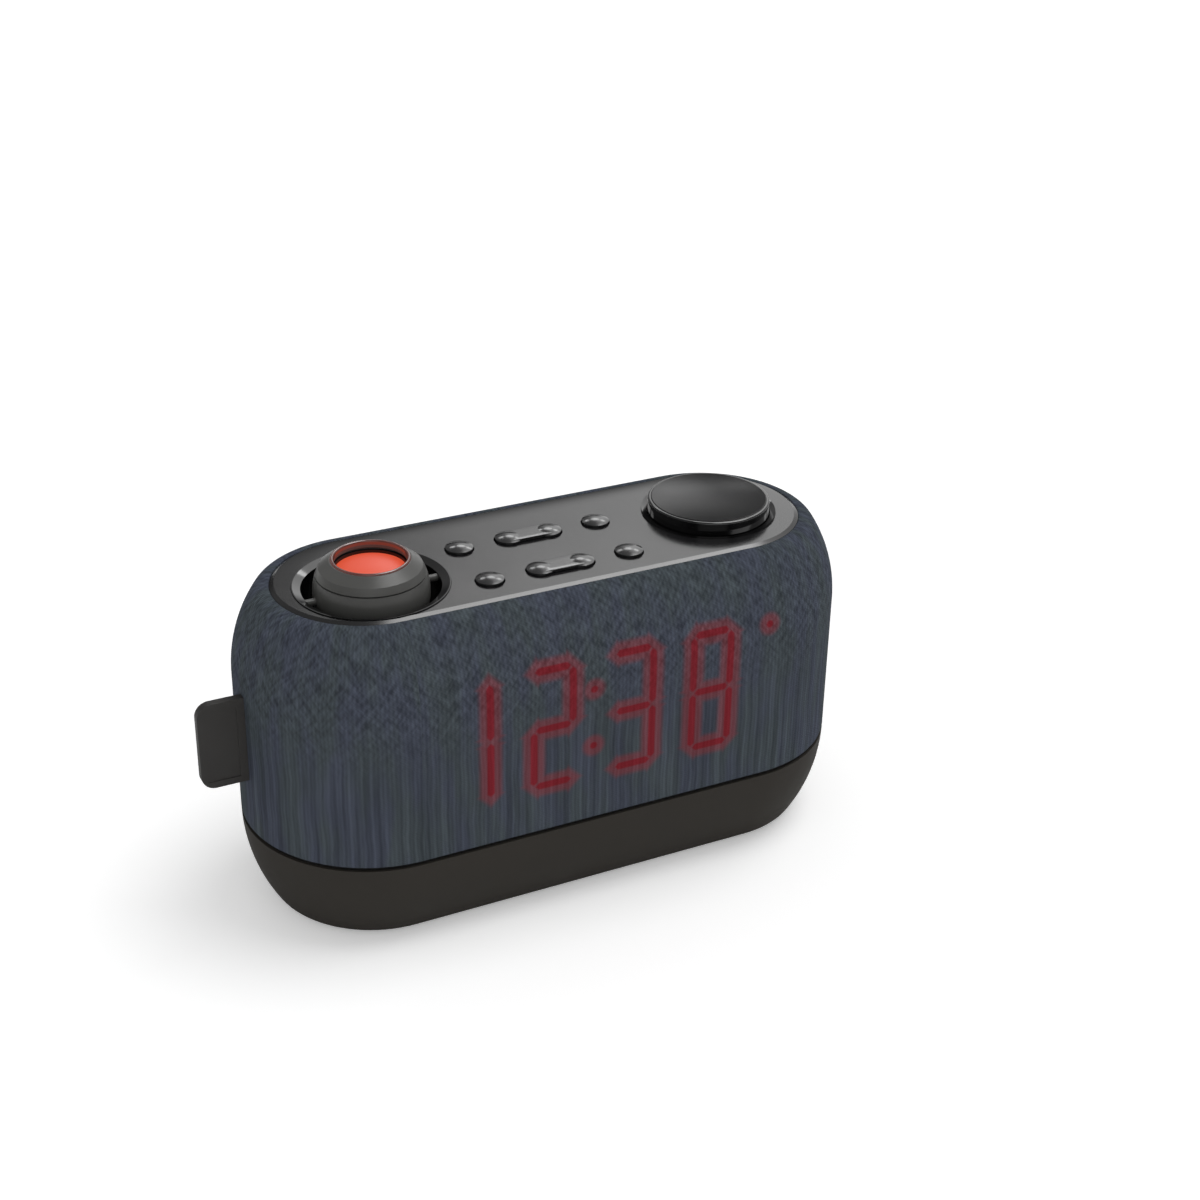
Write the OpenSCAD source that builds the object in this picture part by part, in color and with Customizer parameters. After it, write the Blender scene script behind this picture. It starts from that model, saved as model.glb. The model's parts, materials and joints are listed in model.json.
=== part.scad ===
// Projection alarm clock: a cloth-covered body on a moulded base, with a key panel on top.
// Millimetres. The origin is on the table under the middle of the body.
// +X runs to the snooze end, -Y to the display side, +Z up.

/* [Body] */
// Length of the body over its rounded ends
body_len = 180; // [172:1:205]
// Depth of the body from front to back
body_depth = 75; // [71:1:84]
// Height of the top panel above the table
body_h = 96; // [92:1:112]
// Gap that the feet hold open under the base
foot_lift = 1.2; // [0.8:0.1:2.4]
// How far the shoulder rounds in to the top panel
shoulder_w = 11.5; // [9:0.5:13]
// Height over which the shoulder rounds
shoulder_h = 25; // [20:1:30]
// Radius of the tight curve between shoulder and top
crown_r = 5.8; // [4.6:0.2:7]
// Radius of the long curve of the base
base_round_r = 49; // [44:1:60]
// Height of the long curve of the base
base_round_h = 26.6; // [24:0.2:29]
// Radius of the bottom edge
base_edge_r = 3; // [2.8:0.1:4]

/* [Walls and seam] */
// Wall of the carcass under the cloth
wall = 2.2; // [1.6:0.1:2.8]
// Wall of the base shell
base_wall = 2.2; // [1.6:0.1:2.6]
// Thickness of the cloth cover
cloth_t = 1; // [0.6:0.1:1.4]
// Height of the seam groove above the table
seam_h = 27.1; // [25:0.1:32]
// Width of the seam groove
seam_gap = 0.8; // [0.5:0.1:1.4]
// Depth of the gasket below the surface, which makes the seam a groove
seam_depth = 0.9; // [0.5:0.1:1.4]
// Clearance between parts that are glued or dropped in
seat_gap = 0.1; // [0.05:0.05:0.2]
// Clearance round parts that slide or turn by hand
move_gap = 0.3; // [0.2:0.05:0.4]

/* [Top panel] */
// Thickness of the top panel
panel_t = 2.6; // [2:0.1:3.2]
// How far the panel stands above the cloth
panel_proud = 0.4; // [0.2:0.1:0.8]
// Width of the bevel round the panel's top
panel_bevel_w = 1.2; // [0.6:0.1:1.4]
// Height of the bevel round the panel's top
panel_bevel_h = 0.55; // [0.3:0.05:0.8]
// Width of the ledge that carries the panel
ledge_w = 2; // [1.5:0.1:3]

/* [Projector] */
// Radius of the projector ball
ball_r = 15.8; // [14.6:0.1:16.4]
// Depth of the ball's centre below the panel's top
ball_drop = 2; // [2:0.5:4]
// Height of the flat top of the ball above its centre
cap_top = 9.6; // [9:0.1:10.6]
// Height of the parting line above the ball's centre
cap_base = 5.1; // [4:0.1:6.5]
// Radius of the lens opening in the cap
lens_hole_r = 9.8; // [8:0.1:9.9]
// Width of the bevel round the top of the cap
cap_bevel = 1.5; // [0.5:0.1:1.6]
// Wall of the ball and of its cap
ball_wall = 1.6; // [1.2:0.1:2]
// Distance of the projector from the middle, towards the front
well_shift = 3.5; // [0:0.5:3.5]
// Radius of the well's opening
well_r = 18.9; // [17.9:0.1:19.4]
// Width of the rounded rim of the well
rim_w = 2.4; // [1.8:0.1:2.4]
// Room under the ball
well_room = 2.2; // [1.5:0.1:4]
// Radius of the trunnion pins
trunnion_r = 1; // [1:0.1:1.4]
// Running clearance of the trunnion pins and of the lens barrel
run_gap = 0.06; // [0.03:0.01:0.1]

/* [Snooze button] */
// Radius of the snooze button
snooze_r = 17.6; // [15:0.2:18.4]
// Height of the snooze button above the panel
snooze_rise = 4; // [2.5:0.1:5.5]
// Thickness of the flat cap on the snooze button
snooze_cap_t = 0.8; // [0.6:0.1:1.2]
// Width of the polished ring round the snooze button
snooze_ring_w = 1.5; // [0.8:0.1:2]
// Travel of the snooze button
snooze_travel = 1.5; // [1:0.1:2]
// Radius of the snooze button's guide stem
stem_r = 3; // [2.4:0.1:4]
// Wire radius of the snooze spring
spring_wire = 0.45; // [0.3:0.05:0.6]
// Turns of the snooze spring
spring_turns = 4; // [3:1:6]

/* [Keys] */
// Radius of the round keys and of the lobes of the rockers
key_r = 3.9; // [3.4:0.1:4.2]
// Height of the straight side of a key above the panel
key_rise = 0.7; // [0.4:0.1:1.2]
// Height of the dome on a key
key_dome = 0.8; // [0.5:0.1:1.2]
// Travel of the round keys
key_travel = 0.7; // [0.4:0.1:0.9]
// Distance from the well's rim to the nearest keys
key_margin_l = 4.3; // [3:0.1:7]
// Distance from the nearest keys to the snooze button's opening
key_margin_r = 11.7; // [9:0.1:13]
// Distance of the back row of keys from the panel's back edge
key_edge_back = 20; // [18.5:0.5:21]
// Distance of the front row of keys from the panel's front edge
key_edge_front = 11; // [10:0.5:12.5]
// Distance between the centres of a rocker's lobes
rocker_pitch = 12; // [10:0.5:13]
// Width of a rocker's waist
rocker_waist = 5; // [3.5:0.5:6.5]
// How far a rocker's waist lies below its lobes
rocker_dip = 0.5; // [0:0.1:0.8]
// Depth of the key board under the panel
keyboard_drop = 4.6; // [4:0.1:6]

/* [Display] */
// Hour shown on the display
hour_shown = 12; // [0:1:23]
// Minute shown on the display
minute_shown = 38; // [0:1:59]
// Height of a digit between the middles of its bars
digit_h = 35.4; // [30:0.2:38]
// Width of a digit between the middles of its bars
digit_w = 11.6; // [10:0.2:14]
// Distance between digits
digit_pitch = 24.3; // [21:0.1:24.8]
// Width of a lit bar
bar_w = 2.6; // [2:0.1:3.2]
// Height of the digits' middle above the middle of the room that the display has
display_lift = 0.35; // [0:0.05:0.6]
// Distance of the display's middle to the left of the body's middle
display_shift = 2.3; // [0:0.1:3]
// Radius of the colon's dots and of the alarm dot
dot_r = 1.3; // [1:0.1:1.8]
// Free height above and below the digits
window_margin = 3; // [2.6:0.1:4]
// Depth of the light box
lightbox_t = 7; // [5:0.5:8]

/* [Side tag] */
// How far the tag stands out of the end
tag_out = 12.8; // [8:0.2:18]
// Height of the tag
tag_h = 25.8; // [20:0.2:30]
// Thickness of the tag
tag_t = 2.4; // [1.8:0.1:3.2]
// Height of the tag's middle
tag_z = 57.3; // [52:0.1:60]
// Distance of the tag from the middle, towards the front
tag_y = 3; // [0:0.5:5]
// Corner radius of the tag
tag_round = 4; // [2.5:0.5:6]

/* [Loudspeaker] */
// Radius of the loudspeaker's frame
speaker_r = 20; // [17:0.5:21]
// Distance of the loudspeaker to the right of the middle
speaker_x = 18; // [10:1:26]
// Height of the loudspeaker's middle
speaker_z = 56; // [54:0.5:58]
// Depth of the loudspeaker's basket
basket_depth = 8; // [6:0.5:10]
// Radius of the loudspeaker's magnet
magnet_r = 12; // [9:0.5:14]
// Radius of a sound hole
sound_hole_r = 1.1; // [0.8:0.1:1.4]
// Number of rings of sound holes
sound_rings = 3; // [2:1:4]

/* [Base fittings] */
// Radius of a foot
foot_r = 5; // [4:0.5:6.5]
// How deep a foot sits in its recess
foot_seat = 0.8; // [0.5:0.1:1.2]
// Radius of the battery door
door_r = 12.6; // [12:0.1:14]
// Thickness of the battery door
door_t = 2; // [1.6:0.1:2.2]
// Radius of the coin cell
cell_r = 10; // [10:1:10]
// Height of the coin cell
cell_h = 3.2; // [3.2:1:3.2]
// Radius of the power jack's socket
jack_bore_r = 2.85; // [2.75:0.05:3.2]
// Radius of the power jack's centre pin
jack_pin_r = 1.05; // [0.8:0.05:1.25]
// Depth of the power jack's socket
jack_depth = 9.5; // [8:0.5:11]
// Radius of the assembly screws
screw_r = 1.4; // [1.2:0.1:1.6]

/* [Hidden] */
$fn = 64;
sliver = 0.02;                                   // overlap that keeps a cut clean

// The side outline: a straight belly, two tangent arcs to the top, two to the underside.
half_depth = body_depth / 2;
end_x = body_len / 2 - half_depth;               // centre of each rounded end
underside = foot_lift;
cloth_top = body_h - panel_proud;
shoulder_z = cloth_top - shoulder_h;
shoulder_r = (pow(shoulder_w, 2) + pow(shoulder_h, 2) - 2 * shoulder_h * crown_r)
    / (2 * (shoulder_w - crown_r));
crown_x = half_depth - shoulder_w;
crown_z = cloth_top - crown_r;
crown_tilt = atan2(crown_z - shoulder_z, crown_x - (half_depth - shoulder_r));
belly_z = underside + base_round_h;
edge_z = underside + base_edge_r;
edge_x = half_depth - base_round_r
    + sqrt(pow(base_round_r - base_edge_r, 2) - pow(belly_z - edge_z, 2));
edge_tilt = atan2(belly_z - edge_z, edge_x - (half_depth - base_round_r));

// Depths below the outer surface
carcass_out = cloth_t + seat_gap;
carcass_in = carcass_out + wall;
base_top = seam_h - seam_gap / 2;
carcass_bottom = seam_h + seam_gap / 2;

// Radius of the outline at a height, d below the surface
function upper_r(z, d = 0) = z < shoulder_z ? half_depth - d
    : half_depth - shoulder_r + sqrt(pow(shoulder_r - d, 2) - pow(z - shoulder_z, 2));
function lower_r(z, d = 0) = z > belly_z ? half_depth - d
    : half_depth - base_round_r + sqrt(pow(base_round_r - d, 2) - pow(belly_z - z, 2));
// Radius of a sphere at a height above its centre
function sphere_r(r, z) = sqrt(pow(r, 2) - pow(z, 2));
// Radius of the sphere whose cap has this base radius and height
function dome_r(base, rise) = (pow(base, 2) + pow(rise, 2)) / (2 * rise);

// Top panel and what it sits in
panel_r = crown_x;
panel_bottom = body_h - panel_t;
ledge_r = panel_r - ledge_w;
ledge_t = 2.2;
recess_r = panel_r + seat_gap;
cloth_edge = 0.3;                                // how far the cloth stops short of the recess

// Screws
head_ratio = 1.8;                                // a screw's head against its shank
head_h = 1.4;
bite_gap = 0.05;                                 // round a screw where it bites
pass_gap = 0.2;                                  // round a screw that passes through
small_r = screw_r * 0.7;                         // the screws of the small boards
board_t = 1.6;                                   // every circuit board
carcass_boss_h = 5;                              // what the base's screws bite in

// Projector well, and the ball in it
well_x = -end_x;
well_out = well_r + rim_w;
rim_proud = 0.3;                                 // how far the well's rim stands above the panel
rim_z = body_h + rim_proud;
rim_land = 0.3;                                  // flat left outside the rim's slope
rim_slope = (rim_w - rim_land) * tan(24);        // how far the rim slopes down to the well
well_flange = 1.6;
well_flange_t = 1.2;
ball_z = body_h - ball_drop;
well_floor = ball_z - ball_r - well_room;
well_floor_t = 2;
wire_hole_r = 2.5;
pin_reach = well_r + rim_w * 0.75;               // where the trunnion pins end
cap_gap = 0.4;                                   // groove between ball and cap
inner_r = ball_r - ball_wall;
ceiling = cap_top - ball_wall;                   // heights above the ball's centre from here
bevel_low = cap_top - 1.4 * cap_bevel;
neck_top = min(cap_base + 2.5, ceiling - move_gap);
neck_r = sphere_r(inner_r, neck_top) - move_gap;
neck_in = neck_r - 1.2;
shelf_t = 1.6;
ring_w = 0.9;                                    // the bright ring round the lens opening
barrel_r = neck_in - run_gap;
lens_r = lens_hole_r - move_gap;
lens_edge = 1.4;
lens_dome = 2;
lens_low = ceiling - 2.9;
lens_seat_w = 1;
focus_travel = 0.6;
barrel_high = ceiling - focus_travel - 0.1;
barrel_low = 1.9;
tube_in = 8;
tube_wall = 0.9;
tube_top = 1.2;
lamp_floor = -8.6;
lamp_floor_t = 1.4;
lamp_board_r = tube_in - seat_gap;
lamp_r = 2.5;
lamp_h = 1.6;
condenser_low = -2.9;
condenser_edge = 1.6;
condenser_dome = 1.8;
slide_side = 12;
slide_t = 0.6;

// Snooze button and its guide
snooze_x = end_x;
snooze_hole_r = snooze_r + move_gap;
snooze_top = body_h + snooze_rise;
snooze_skirt = 1.8;
snooze_plate = 2;
snooze_edge = 0.5;                               // round of the button's top edge
snooze_cap_in = 0.9;
snooze_cap_proud = 0.2;
snooze_ring_t = 0.8;                             // how deep the ring sits in the panel
snooze_ring_rise = 0.6;                          // how far its outer edge stands above it
snooze_lip = 1;                                  // the lip that keeps the button in
snooze_low = panel_bottom - 1.8;
lip_play = 0.2;
guide_in = snooze_r + snooze_lip + move_gap;
guide_r = guide_in + 1.8;
guide_t = 1.6;
guide_floor = snooze_low - snooze_travel - 1.2;
guide_bore = stem_r + run_gap;
sleeve_r = guide_bore + 1.4;
sleeve_h = 3;
stem_low = guide_floor - guide_t - 0.6;
spring_r = sleeve_r + spring_wire + 0.4;
spring_h = snooze_top - snooze_plate - guide_floor;
tact_h = 1.5;
tact_side = 4.5;
plunger_r = 1.2;
snooze_tact_x = snooze_r * 0.6;
press_gap = 0.05;                                // left between a plunger and its switch

// Keys and the board under them
key_hole_r = key_r + move_gap;
key_row_back = panel_r - key_edge_back;
key_row_front = panel_r - key_edge_front;
key_left_x = well_x + well_out + key_margin_l + key_r;
key_right_x = snooze_x - snooze_hole_r - key_margin_r - key_r;
rocker_x = (key_left_x + key_right_x) / 2;
flange_r = key_r + 1;
flange_t = 0.8;
flange_play = 0.1;
keyboard_z = panel_bottom - keyboard_drop;       // top of the key board
keyboard_rim = 1.4;                              // how far the board reaches past the keys
rocker_gap = move_gap + 0.05;
rocker_tilt = 3;
rocker_low = panel_bottom - 2.2;
axle_r = 0.8;
axle_z = panel_bottom - 1.7;
ear_t = 1.6;
ear_y = rocker_waist / 2 + rocker_gap + 0.3;     // near face of an ear
ear_side = 3.2;
key_post_r = 2.4;
key_rows = [key_row_back, -key_row_front];
round_keys_x = [key_left_x, key_right_x];
key_post_y = [key_row_back + 3, -key_row_front - 3];
key_post_x = [(key_left_x + flange_r + rocker_x - rocker_pitch / 2 - key_r) / 2,
    (key_right_x - flange_r + rocker_x + rocker_pitch / 2 + key_r) / 2];
board_left = key_left_x - flange_r - keyboard_rim;
board_right = key_right_x + flange_r + keyboard_rim;
board_back = key_row_back + flange_r + keyboard_rim;
board_front = -key_row_front - flange_r - keyboard_rim;

// Display stack, from the cloth inwards
digit_z = (carcass_bottom + carcass_boss_h + keyboard_z - board_t) / 2 + display_lift;
window_top = digit_z + digit_h / 2 + bar_w / 2 + window_margin;
window_bottom = digit_z - digit_h / 2 - bar_w / 2 - window_margin;
window_left = -display_shift - 1.5 * digit_pitch - digit_w / 2 - bar_w / 2 - window_margin;
window_right = end_x + dot_r + window_margin / 2;
window_gap = 0.2;
filter_t = 1;
filter_y = -upper_r(window_top, cloth_t + move_gap);
lightbox_y = filter_y + filter_t;
lightbox_back = lightbox_y + lightbox_t;
led_t = 0.8;
led_side = 1.8;
guide_room = 0.4;                                // air between an LED and its light guide
guide_back = lightbox_back - led_t - guide_room;
bar_end = 0.3;                                   // how far a bar stops short of its corner
bar_gap = 0.1;                                   // clearance of a light guide in its cell
display_rim = 6;                                 // how far the board passes the window's sides
display_boss_r = 2.8;
display_boss_z = [digit_z - digit_h / 3, digit_z + digit_h / 3];
display_boss_x = [window_left - display_rim / 2, window_right + display_rim / 2];
// The seven bars: place in half widths and quarter heights of a digit, and turn
BAR_AT = [[0, 2, 0], [1, 1, 90], [1, -1, 90], [0, -2, 0], [-1, -1, 90], [-1, 1, 90], [0, 0, 0]];
// Which of them each numeral lights, in the same order
LIT = [
    [1, 1, 1, 1, 1, 1, 0], [0, 1, 1, 0, 0, 0, 0], [1, 1, 0, 1, 1, 0, 1], [1, 1, 1, 1, 0, 0, 1],
    [0, 1, 1, 0, 0, 1, 1], [1, 0, 1, 1, 0, 1, 1], [1, 0, 1, 1, 1, 1, 1], [1, 1, 1, 0, 0, 0, 0],
    [1, 1, 1, 1, 1, 1, 1], [1, 1, 1, 1, 0, 1, 1]
];
numerals = [floor(hour_shown / 10), hour_shown % 10, floor(minute_shown / 10), minute_shown % 10];
dots = [[-display_shift, digit_h / 4], [-display_shift, -digit_h / 4], [end_x, digit_h / 2 - dot_r]];

// Side tag
tag_bar = 1.6;                                   // the root bar that holds it in its slot
tag_border = 2;
tag_relief = 0.2;                                // depth of the field inside the border

// Loudspeaker
speaker_seat = 2;                                // how far its seat stands off the wall
speaker_face = upper_r(speaker_z + speaker_r, carcass_in) - speaker_seat;
speaker_flange_t = 1.2;
basket_wall = 1;
cone_t = 0.5;
cone_roll = 1.4;
basket_r = speaker_r - 2;
magnet_t = 6;
dust_cap_r = 5;
sound_pitch = sound_hole_r * 4;
speaker_boss_r = 2.6;
speaker_boss_ring = speaker_r + 1.4;

// Base fittings
floor_z = underside + base_wall;
post_r = 3.6;
post_in = 6.4;                                   // from the bottom's edge to a post
post_at = [end_x - 2, edge_x - post_r - post_in];
post_sink = 6;                                   // depth of the screw heads in the posts
post_rib = 2;
lip_t = 1.2;
lip_h = 2.4;
lip_foot = 3;
rib_low = base_top + lip_h + move_gap;
rib_top = carcass_bottom + carcass_boss_h - post_rib / 2;
foot_ring = edge_x - foot_r - 0.4;
foot_turn = 60;
foot_boss = 1.4;
foot_bevel = 0.7;
door_x = -22;
door_y = 4;
door_gap = move_gap;
door_turn = 35;
lug_w = 5;
lug_out = 0.9;
lug_t = 1.2;
cup_r = door_r + 2.8;
cell_gap = 0.4;
contact_t = 0.3;
cell_z = underside + door_t + contact_t;
cup_top = cell_z + cell_h + contact_t;
cup_lid = 1.2;
main_z = 15;
main_in = 7;                                     // from the ends' centres to the board
main_len = 2 * (end_x - main_in);
main_depth = 34;
main_y = 3;
main_hole = [main_len / 2 - 5, main_depth / 2 - 4];
main_post_r = 3;
jack_x = -36;
jack_z = 13.5;
jack_r = 4.6;
jack_len = 4.5;                                  // length of the round nose
jack_body = [10, 8, 9];
jack_face = lower_r(jack_z) - 0.6;
jack_pad = 2.4;
cpu_size = [16, 10, 2.4];
amp_size = [9, 6, 1.8];
chip_gap = 2;
cap_r = 2.8;
cap_h = 6;
can_size = [18, 14, 5.5];
sheet_t = 0.4;
ribbon_t = 0.4;
ribbon_w = 14;
plug_size = [16, 4, 3];

// ---- helpers ----

// Half of the upper outline, from the seam to the top, with every face set in by d
module upper_profile(d = 0) {
    shoulder_top = crown_z + (crown_r - d) * sin(crown_tilt);
    translate([0, carcass_bottom]) square([half_depth - d, shoulder_z - carcass_bottom]);
    intersection() {
        translate([half_depth - shoulder_r, shoulder_z]) circle(shoulder_r - d);
        translate([0, shoulder_z]) square([half_depth, shoulder_top - shoulder_z]);
    }
    intersection() {
        union() {
            translate([crown_x, crown_z]) circle(crown_r - d);
            translate([0, shoulder_top]) square([crown_x, cloth_top - d - shoulder_top]);
        }
        translate([0, shoulder_top]) square([half_depth, cloth_top - d - shoulder_top]);
    }
}

// Half of the base's outline, from the underside to the seam, with every face set in by d
module lower_profile() {
    edge_top = edge_z - base_edge_r * sin(edge_tilt);
    base_outline(0, edge_top);
    intersection() {
        union() {
            translate([edge_x, edge_z]) circle(base_edge_r);
            translate([0, underside]) square([edge_x, edge_top - underside]);
        }
        translate([0, underside]) square([half_depth, edge_top - underside]);
    }
}

// Half outline of the base d mm inside its face, from the given height to the seam
module base_outline(d, low) intersection() {
    union() {
        translate([half_depth - base_round_r, belly_z]) circle(base_round_r - d);
        translate([0, belly_z]) square([half_depth - d, body_h]);
    }
    translate([0, low]) square([half_depth, base_top - low]);
}

// Takes a half outline round the body's plan, a straight stretch with two round ends
module around() {
    translate([-end_x, 0, 0]) rotate([90, 0, 90]) linear_extrude(2 * end_x) {
        children();
        mirror([1, 0]) children();
    }
    for (side = [0, 1]) rotate([0, 0, 180 * side])
        translate([end_x, 0, 0]) rotate([0, 0, -90]) rotate_extrude(angle = 180) children();
}

module tube(r_out, r_in, h) difference() {
    cylinder(r = r_out, h = h);
    translate([0, 0, -1]) cylinder(r = r_in, h = h + 2);
}

// A lens or cap: a straight edge with a spherical top
module domed(r, edge, rise) rotate_extrude() {
    square([r, edge]);
    intersection() {
        translate([0, edge + rise - dome_r(r, rise)]) circle(dome_r(r, rise));
        translate([0, edge]) square([r, rise]);
    }
}

// A disc or cup profile whose top edge is rounded by a
module soft_disc(r, h, a) rotate_extrude() {
    square([r - a, h]);
    square([r, h - a]);
    translate([r - a, h - a]) circle(a);
}

// A screw with the underside of its head at z = 0 and its shank below
module screw(r, len) {
    difference() {
        cylinder(r = r * head_ratio, h = head_h);
        for (turn = [0, 90]) rotate([0, 0, turn])
            translate([-r, -r / 5, head_h / 2]) cube([2 * r, 2 * r / 5, head_h]);
    }
    translate([0, 0, -len]) cylinder(r = r, h = len + sliver);
}

// Each flat outline becomes a plate from depth y, t thick towards the display side
module facing(y, t) translate([0, y, 0]) rotate([90, 0, 0]) linear_extrude(t) children();

module at_base_screws() for (x = [-1, 1], y = [-1, 1])
    translate([x * post_at[0], y * post_at[1], 0]) children();

module at_feet() for (x = [-1, 1], y = [-1, 1])
    translate([x * (end_x + foot_ring * cos(foot_turn)), y * foot_ring * sin(foot_turn), 0])
        children();

module at_main_screws() for (x = [-1, 1], y = [-1, 1])
    translate([x * main_hole[0], main_y + y * main_hole[1], main_z]) children();

module at_key_posts() for (x = key_post_x, y = key_post_y)
    translate([x, y, keyboard_z]) children();

module at_display_screws() for (x = display_boss_x, z = display_boss_z)
    translate([x, lightbox_back, z]) rotate([-90, 0, 0]) children();

module at_well() translate([well_x, -well_shift, 0]) children();

module at_ball() at_well() translate([0, 0, ball_z]) children();

// From the loudspeaker's face, inwards
module at_speaker() translate([speaker_x, speaker_face, speaker_z]) rotate([90, 0, 0]) children();

module at_speaker_screws() at_speaker() for (turn = [45 : 90 : 315])
    rotate([0, 0, turn]) translate([speaker_boss_ring, 0, 0]) children();

// The opening that the side tag passes through, grown by g
module tag_slot(g) translate([-end_x - half_depth - 1, -tag_y - tag_t / 2 - g, tag_z - tag_h / 2 - g])
    cube([half_depth / 2, tag_t + 2 * g, tag_h + 2 * g]);

// ---- casing ----

module base_shell() color("#2f2e2d") {
    lip_r = half_depth - carcass_in - move_gap;
    difference() {
        union() {
            around() difference() {
                union() {
                    lower_profile();
                    translate([lip_r - lip_t, base_top - lip_foot]) square([lip_t, lip_foot + lip_h]);
                }
                difference() {
                    union() {
                        base_outline(base_wall, underside + base_wall);
                        translate([0, base_top - sliver]) square([lip_r - lip_t, 1]);
                    }
                    translate([lip_r - lip_t, base_top - lip_foot])
                        square([half_depth - lip_r + lip_t, lip_foot]);
                }
            }
            at_base_screws() translate([0, 0, underside + base_wall / 2])
                cylinder(r = post_r, h = carcass_bottom - underside - base_wall / 2);
            translate([door_x, door_y, underside + base_wall / 2])
                cylinder(r = cup_r, h = cup_top + cup_lid - underside - base_wall / 2);
            at_feet() translate([0, 0, underside + base_wall / 2])
                cylinder(r = foot_r + foot_boss, h = base_wall / 2 + foot_seat);
            at_main_screws() translate([0, 0, underside + base_wall / 2 - main_z])
                cylinder(r = main_post_r, h = main_z - underside - base_wall / 2);
            intersection() {
                translate([jack_x - jack_r - jack_pad, jack_face - jack_len, underside + base_wall / 2])
                    cube([2 * (jack_r + jack_pad), half_depth, jack_z + jack_r + jack_pad - underside]);
                around() base_outline(base_wall / 2, underside + base_wall / 2);
            }
        }
        at_base_screws() {
            cylinder(r = screw_r * head_ratio + move_gap, h = underside + post_sink);
            cylinder(r = screw_r + pass_gap, h = body_h / 2);
        }
        at_main_screws() translate([0, 0, -main_z / 2]) cylinder(r = screw_r + bite_gap, h = main_z);
        at_feet() translate([0, 0, -1]) cylinder(r = foot_r + seat_gap, h = 1 + underside + foot_seat);
        translate([door_x, door_y, 0]) {
            cylinder(r = door_r + door_gap, h = underside + door_t);
            translate([0, 0, underside + door_t - lug_t - seat_gap])
                cylinder(r = door_r + lug_out + door_gap, h = lug_t + seat_gap);
            for (turn = [0, 180]) rotate([0, 0, door_turn + turn])
                translate([0, -lug_w / 2 - door_gap, 0])
                    cube([door_r + lug_out + door_gap, lug_w + 2 * door_gap, underside + door_t]);
            cylinder(r = cell_r + cell_gap, h = cup_top);
        }
        translate([jack_x, half_depth + 1, jack_z]) rotate([90, 0, 0])
            cylinder(r = jack_r + seat_gap, h = half_depth / 2);
    }
}

module rubber_feet() color("#1b1b1b") at_feet() rotate_extrude() polygon([
    [0, 0], [foot_r - foot_bevel, 0], [foot_r, foot_bevel],
    [foot_r, underside + foot_seat], [0, underside + foot_seat]
]);

module base_screws() color("#9a9a9a") at_base_screws()
    translate([0, 0, underside + post_sink]) mirror([0, 0, 1])
        screw(screw_r, carcass_bottom + carcass_boss_h - underside - post_sink - 2);

module seam_gasket() color("#101010") around()
    translate([half_depth - base_wall, base_top]) square([base_wall - seam_depth, seam_gap]);

module carcass() color("#3a3a3c") difference() {
    union() {
        around() difference() {
            union() {
                difference() {
                    upper_profile(carcass_out);
                    upper_profile(carcass_in);
                }
                intersection() {
                    upper_profile(carcass_out);
                    translate([ledge_r, panel_bottom - ledge_t]) square([half_depth, ledge_t]);
                }
            }
            square([ledge_r, body_h]);
            translate([0, panel_bottom]) square([recess_r, body_h]);
        }
        intersection() {
            union() {
                at_base_screws() translate([0, 0, carcass_bottom])
                    cylinder(r = post_r, h = carcass_boss_h);
                for (x = [-1, 1]) translate([x * post_at[0] - post_rib / 2, 0, rib_low])
                    for (y = [0, 1]) mirror([0, y, 0]) translate([0, post_at[1] + post_r / 2, 0])
                        cube([post_rib, half_depth, rib_top - rib_low]);
                at_display_screws() mirror([0, 0, 1]) cylinder(r = display_boss_r, h = half_depth / 2);
                at_speaker() mirror([0, 0, 1])
                    tube(basket_r, basket_r - wall, half_depth / 2);
                at_speaker_screws() mirror([0, 0, 1]) cylinder(r = speaker_boss_r, h = half_depth / 2);
            }
            around() upper_profile(carcass_out + wall / 2);
        }
    }
    translate([window_left, -half_depth, window_bottom])
        cube([window_right - window_left, half_depth / 2, window_top - window_bottom]);
    at_speaker() translate([0, 0, -half_depth / 2]) {
        cylinder(r = sound_hole_r, h = half_depth);
        for (ring = [1 : sound_rings], i = [0 : 6 * ring - 1])
            rotate([0, 0, i * 60 / ring]) translate([ring * sound_pitch, 0, 0])
                cylinder(r = sound_hole_r, h = half_depth);
    }
    at_well() translate([0, 0, panel_bottom - ledge_t - 1])
        cylinder(r = well_out + well_flange + seat_gap, h = ledge_t + 2);
    tag_slot(seat_gap);
    at_base_screws() cylinder(r = screw_r + bite_gap, h = carcass_bottom + carcass_boss_h - 1);
    at_display_screws() mirror([0, 0, 1]) translate([0, 0, -1])
        cylinder(r = small_r + bite_gap, h = lightbox_t);
    at_speaker_screws() mirror([0, 0, 1]) translate([0, 0, -1])
        cylinder(r = small_r + bite_gap, h = 1 + speaker_seat + wall / 2);
}

module fabric_cover() color("#3d434c") difference() {
    around() difference() {
        upper_profile();
        upper_profile(cloth_t);
        square([recess_r + cloth_edge, body_h]);
    }
    tag_slot(seat_gap);
}

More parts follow.
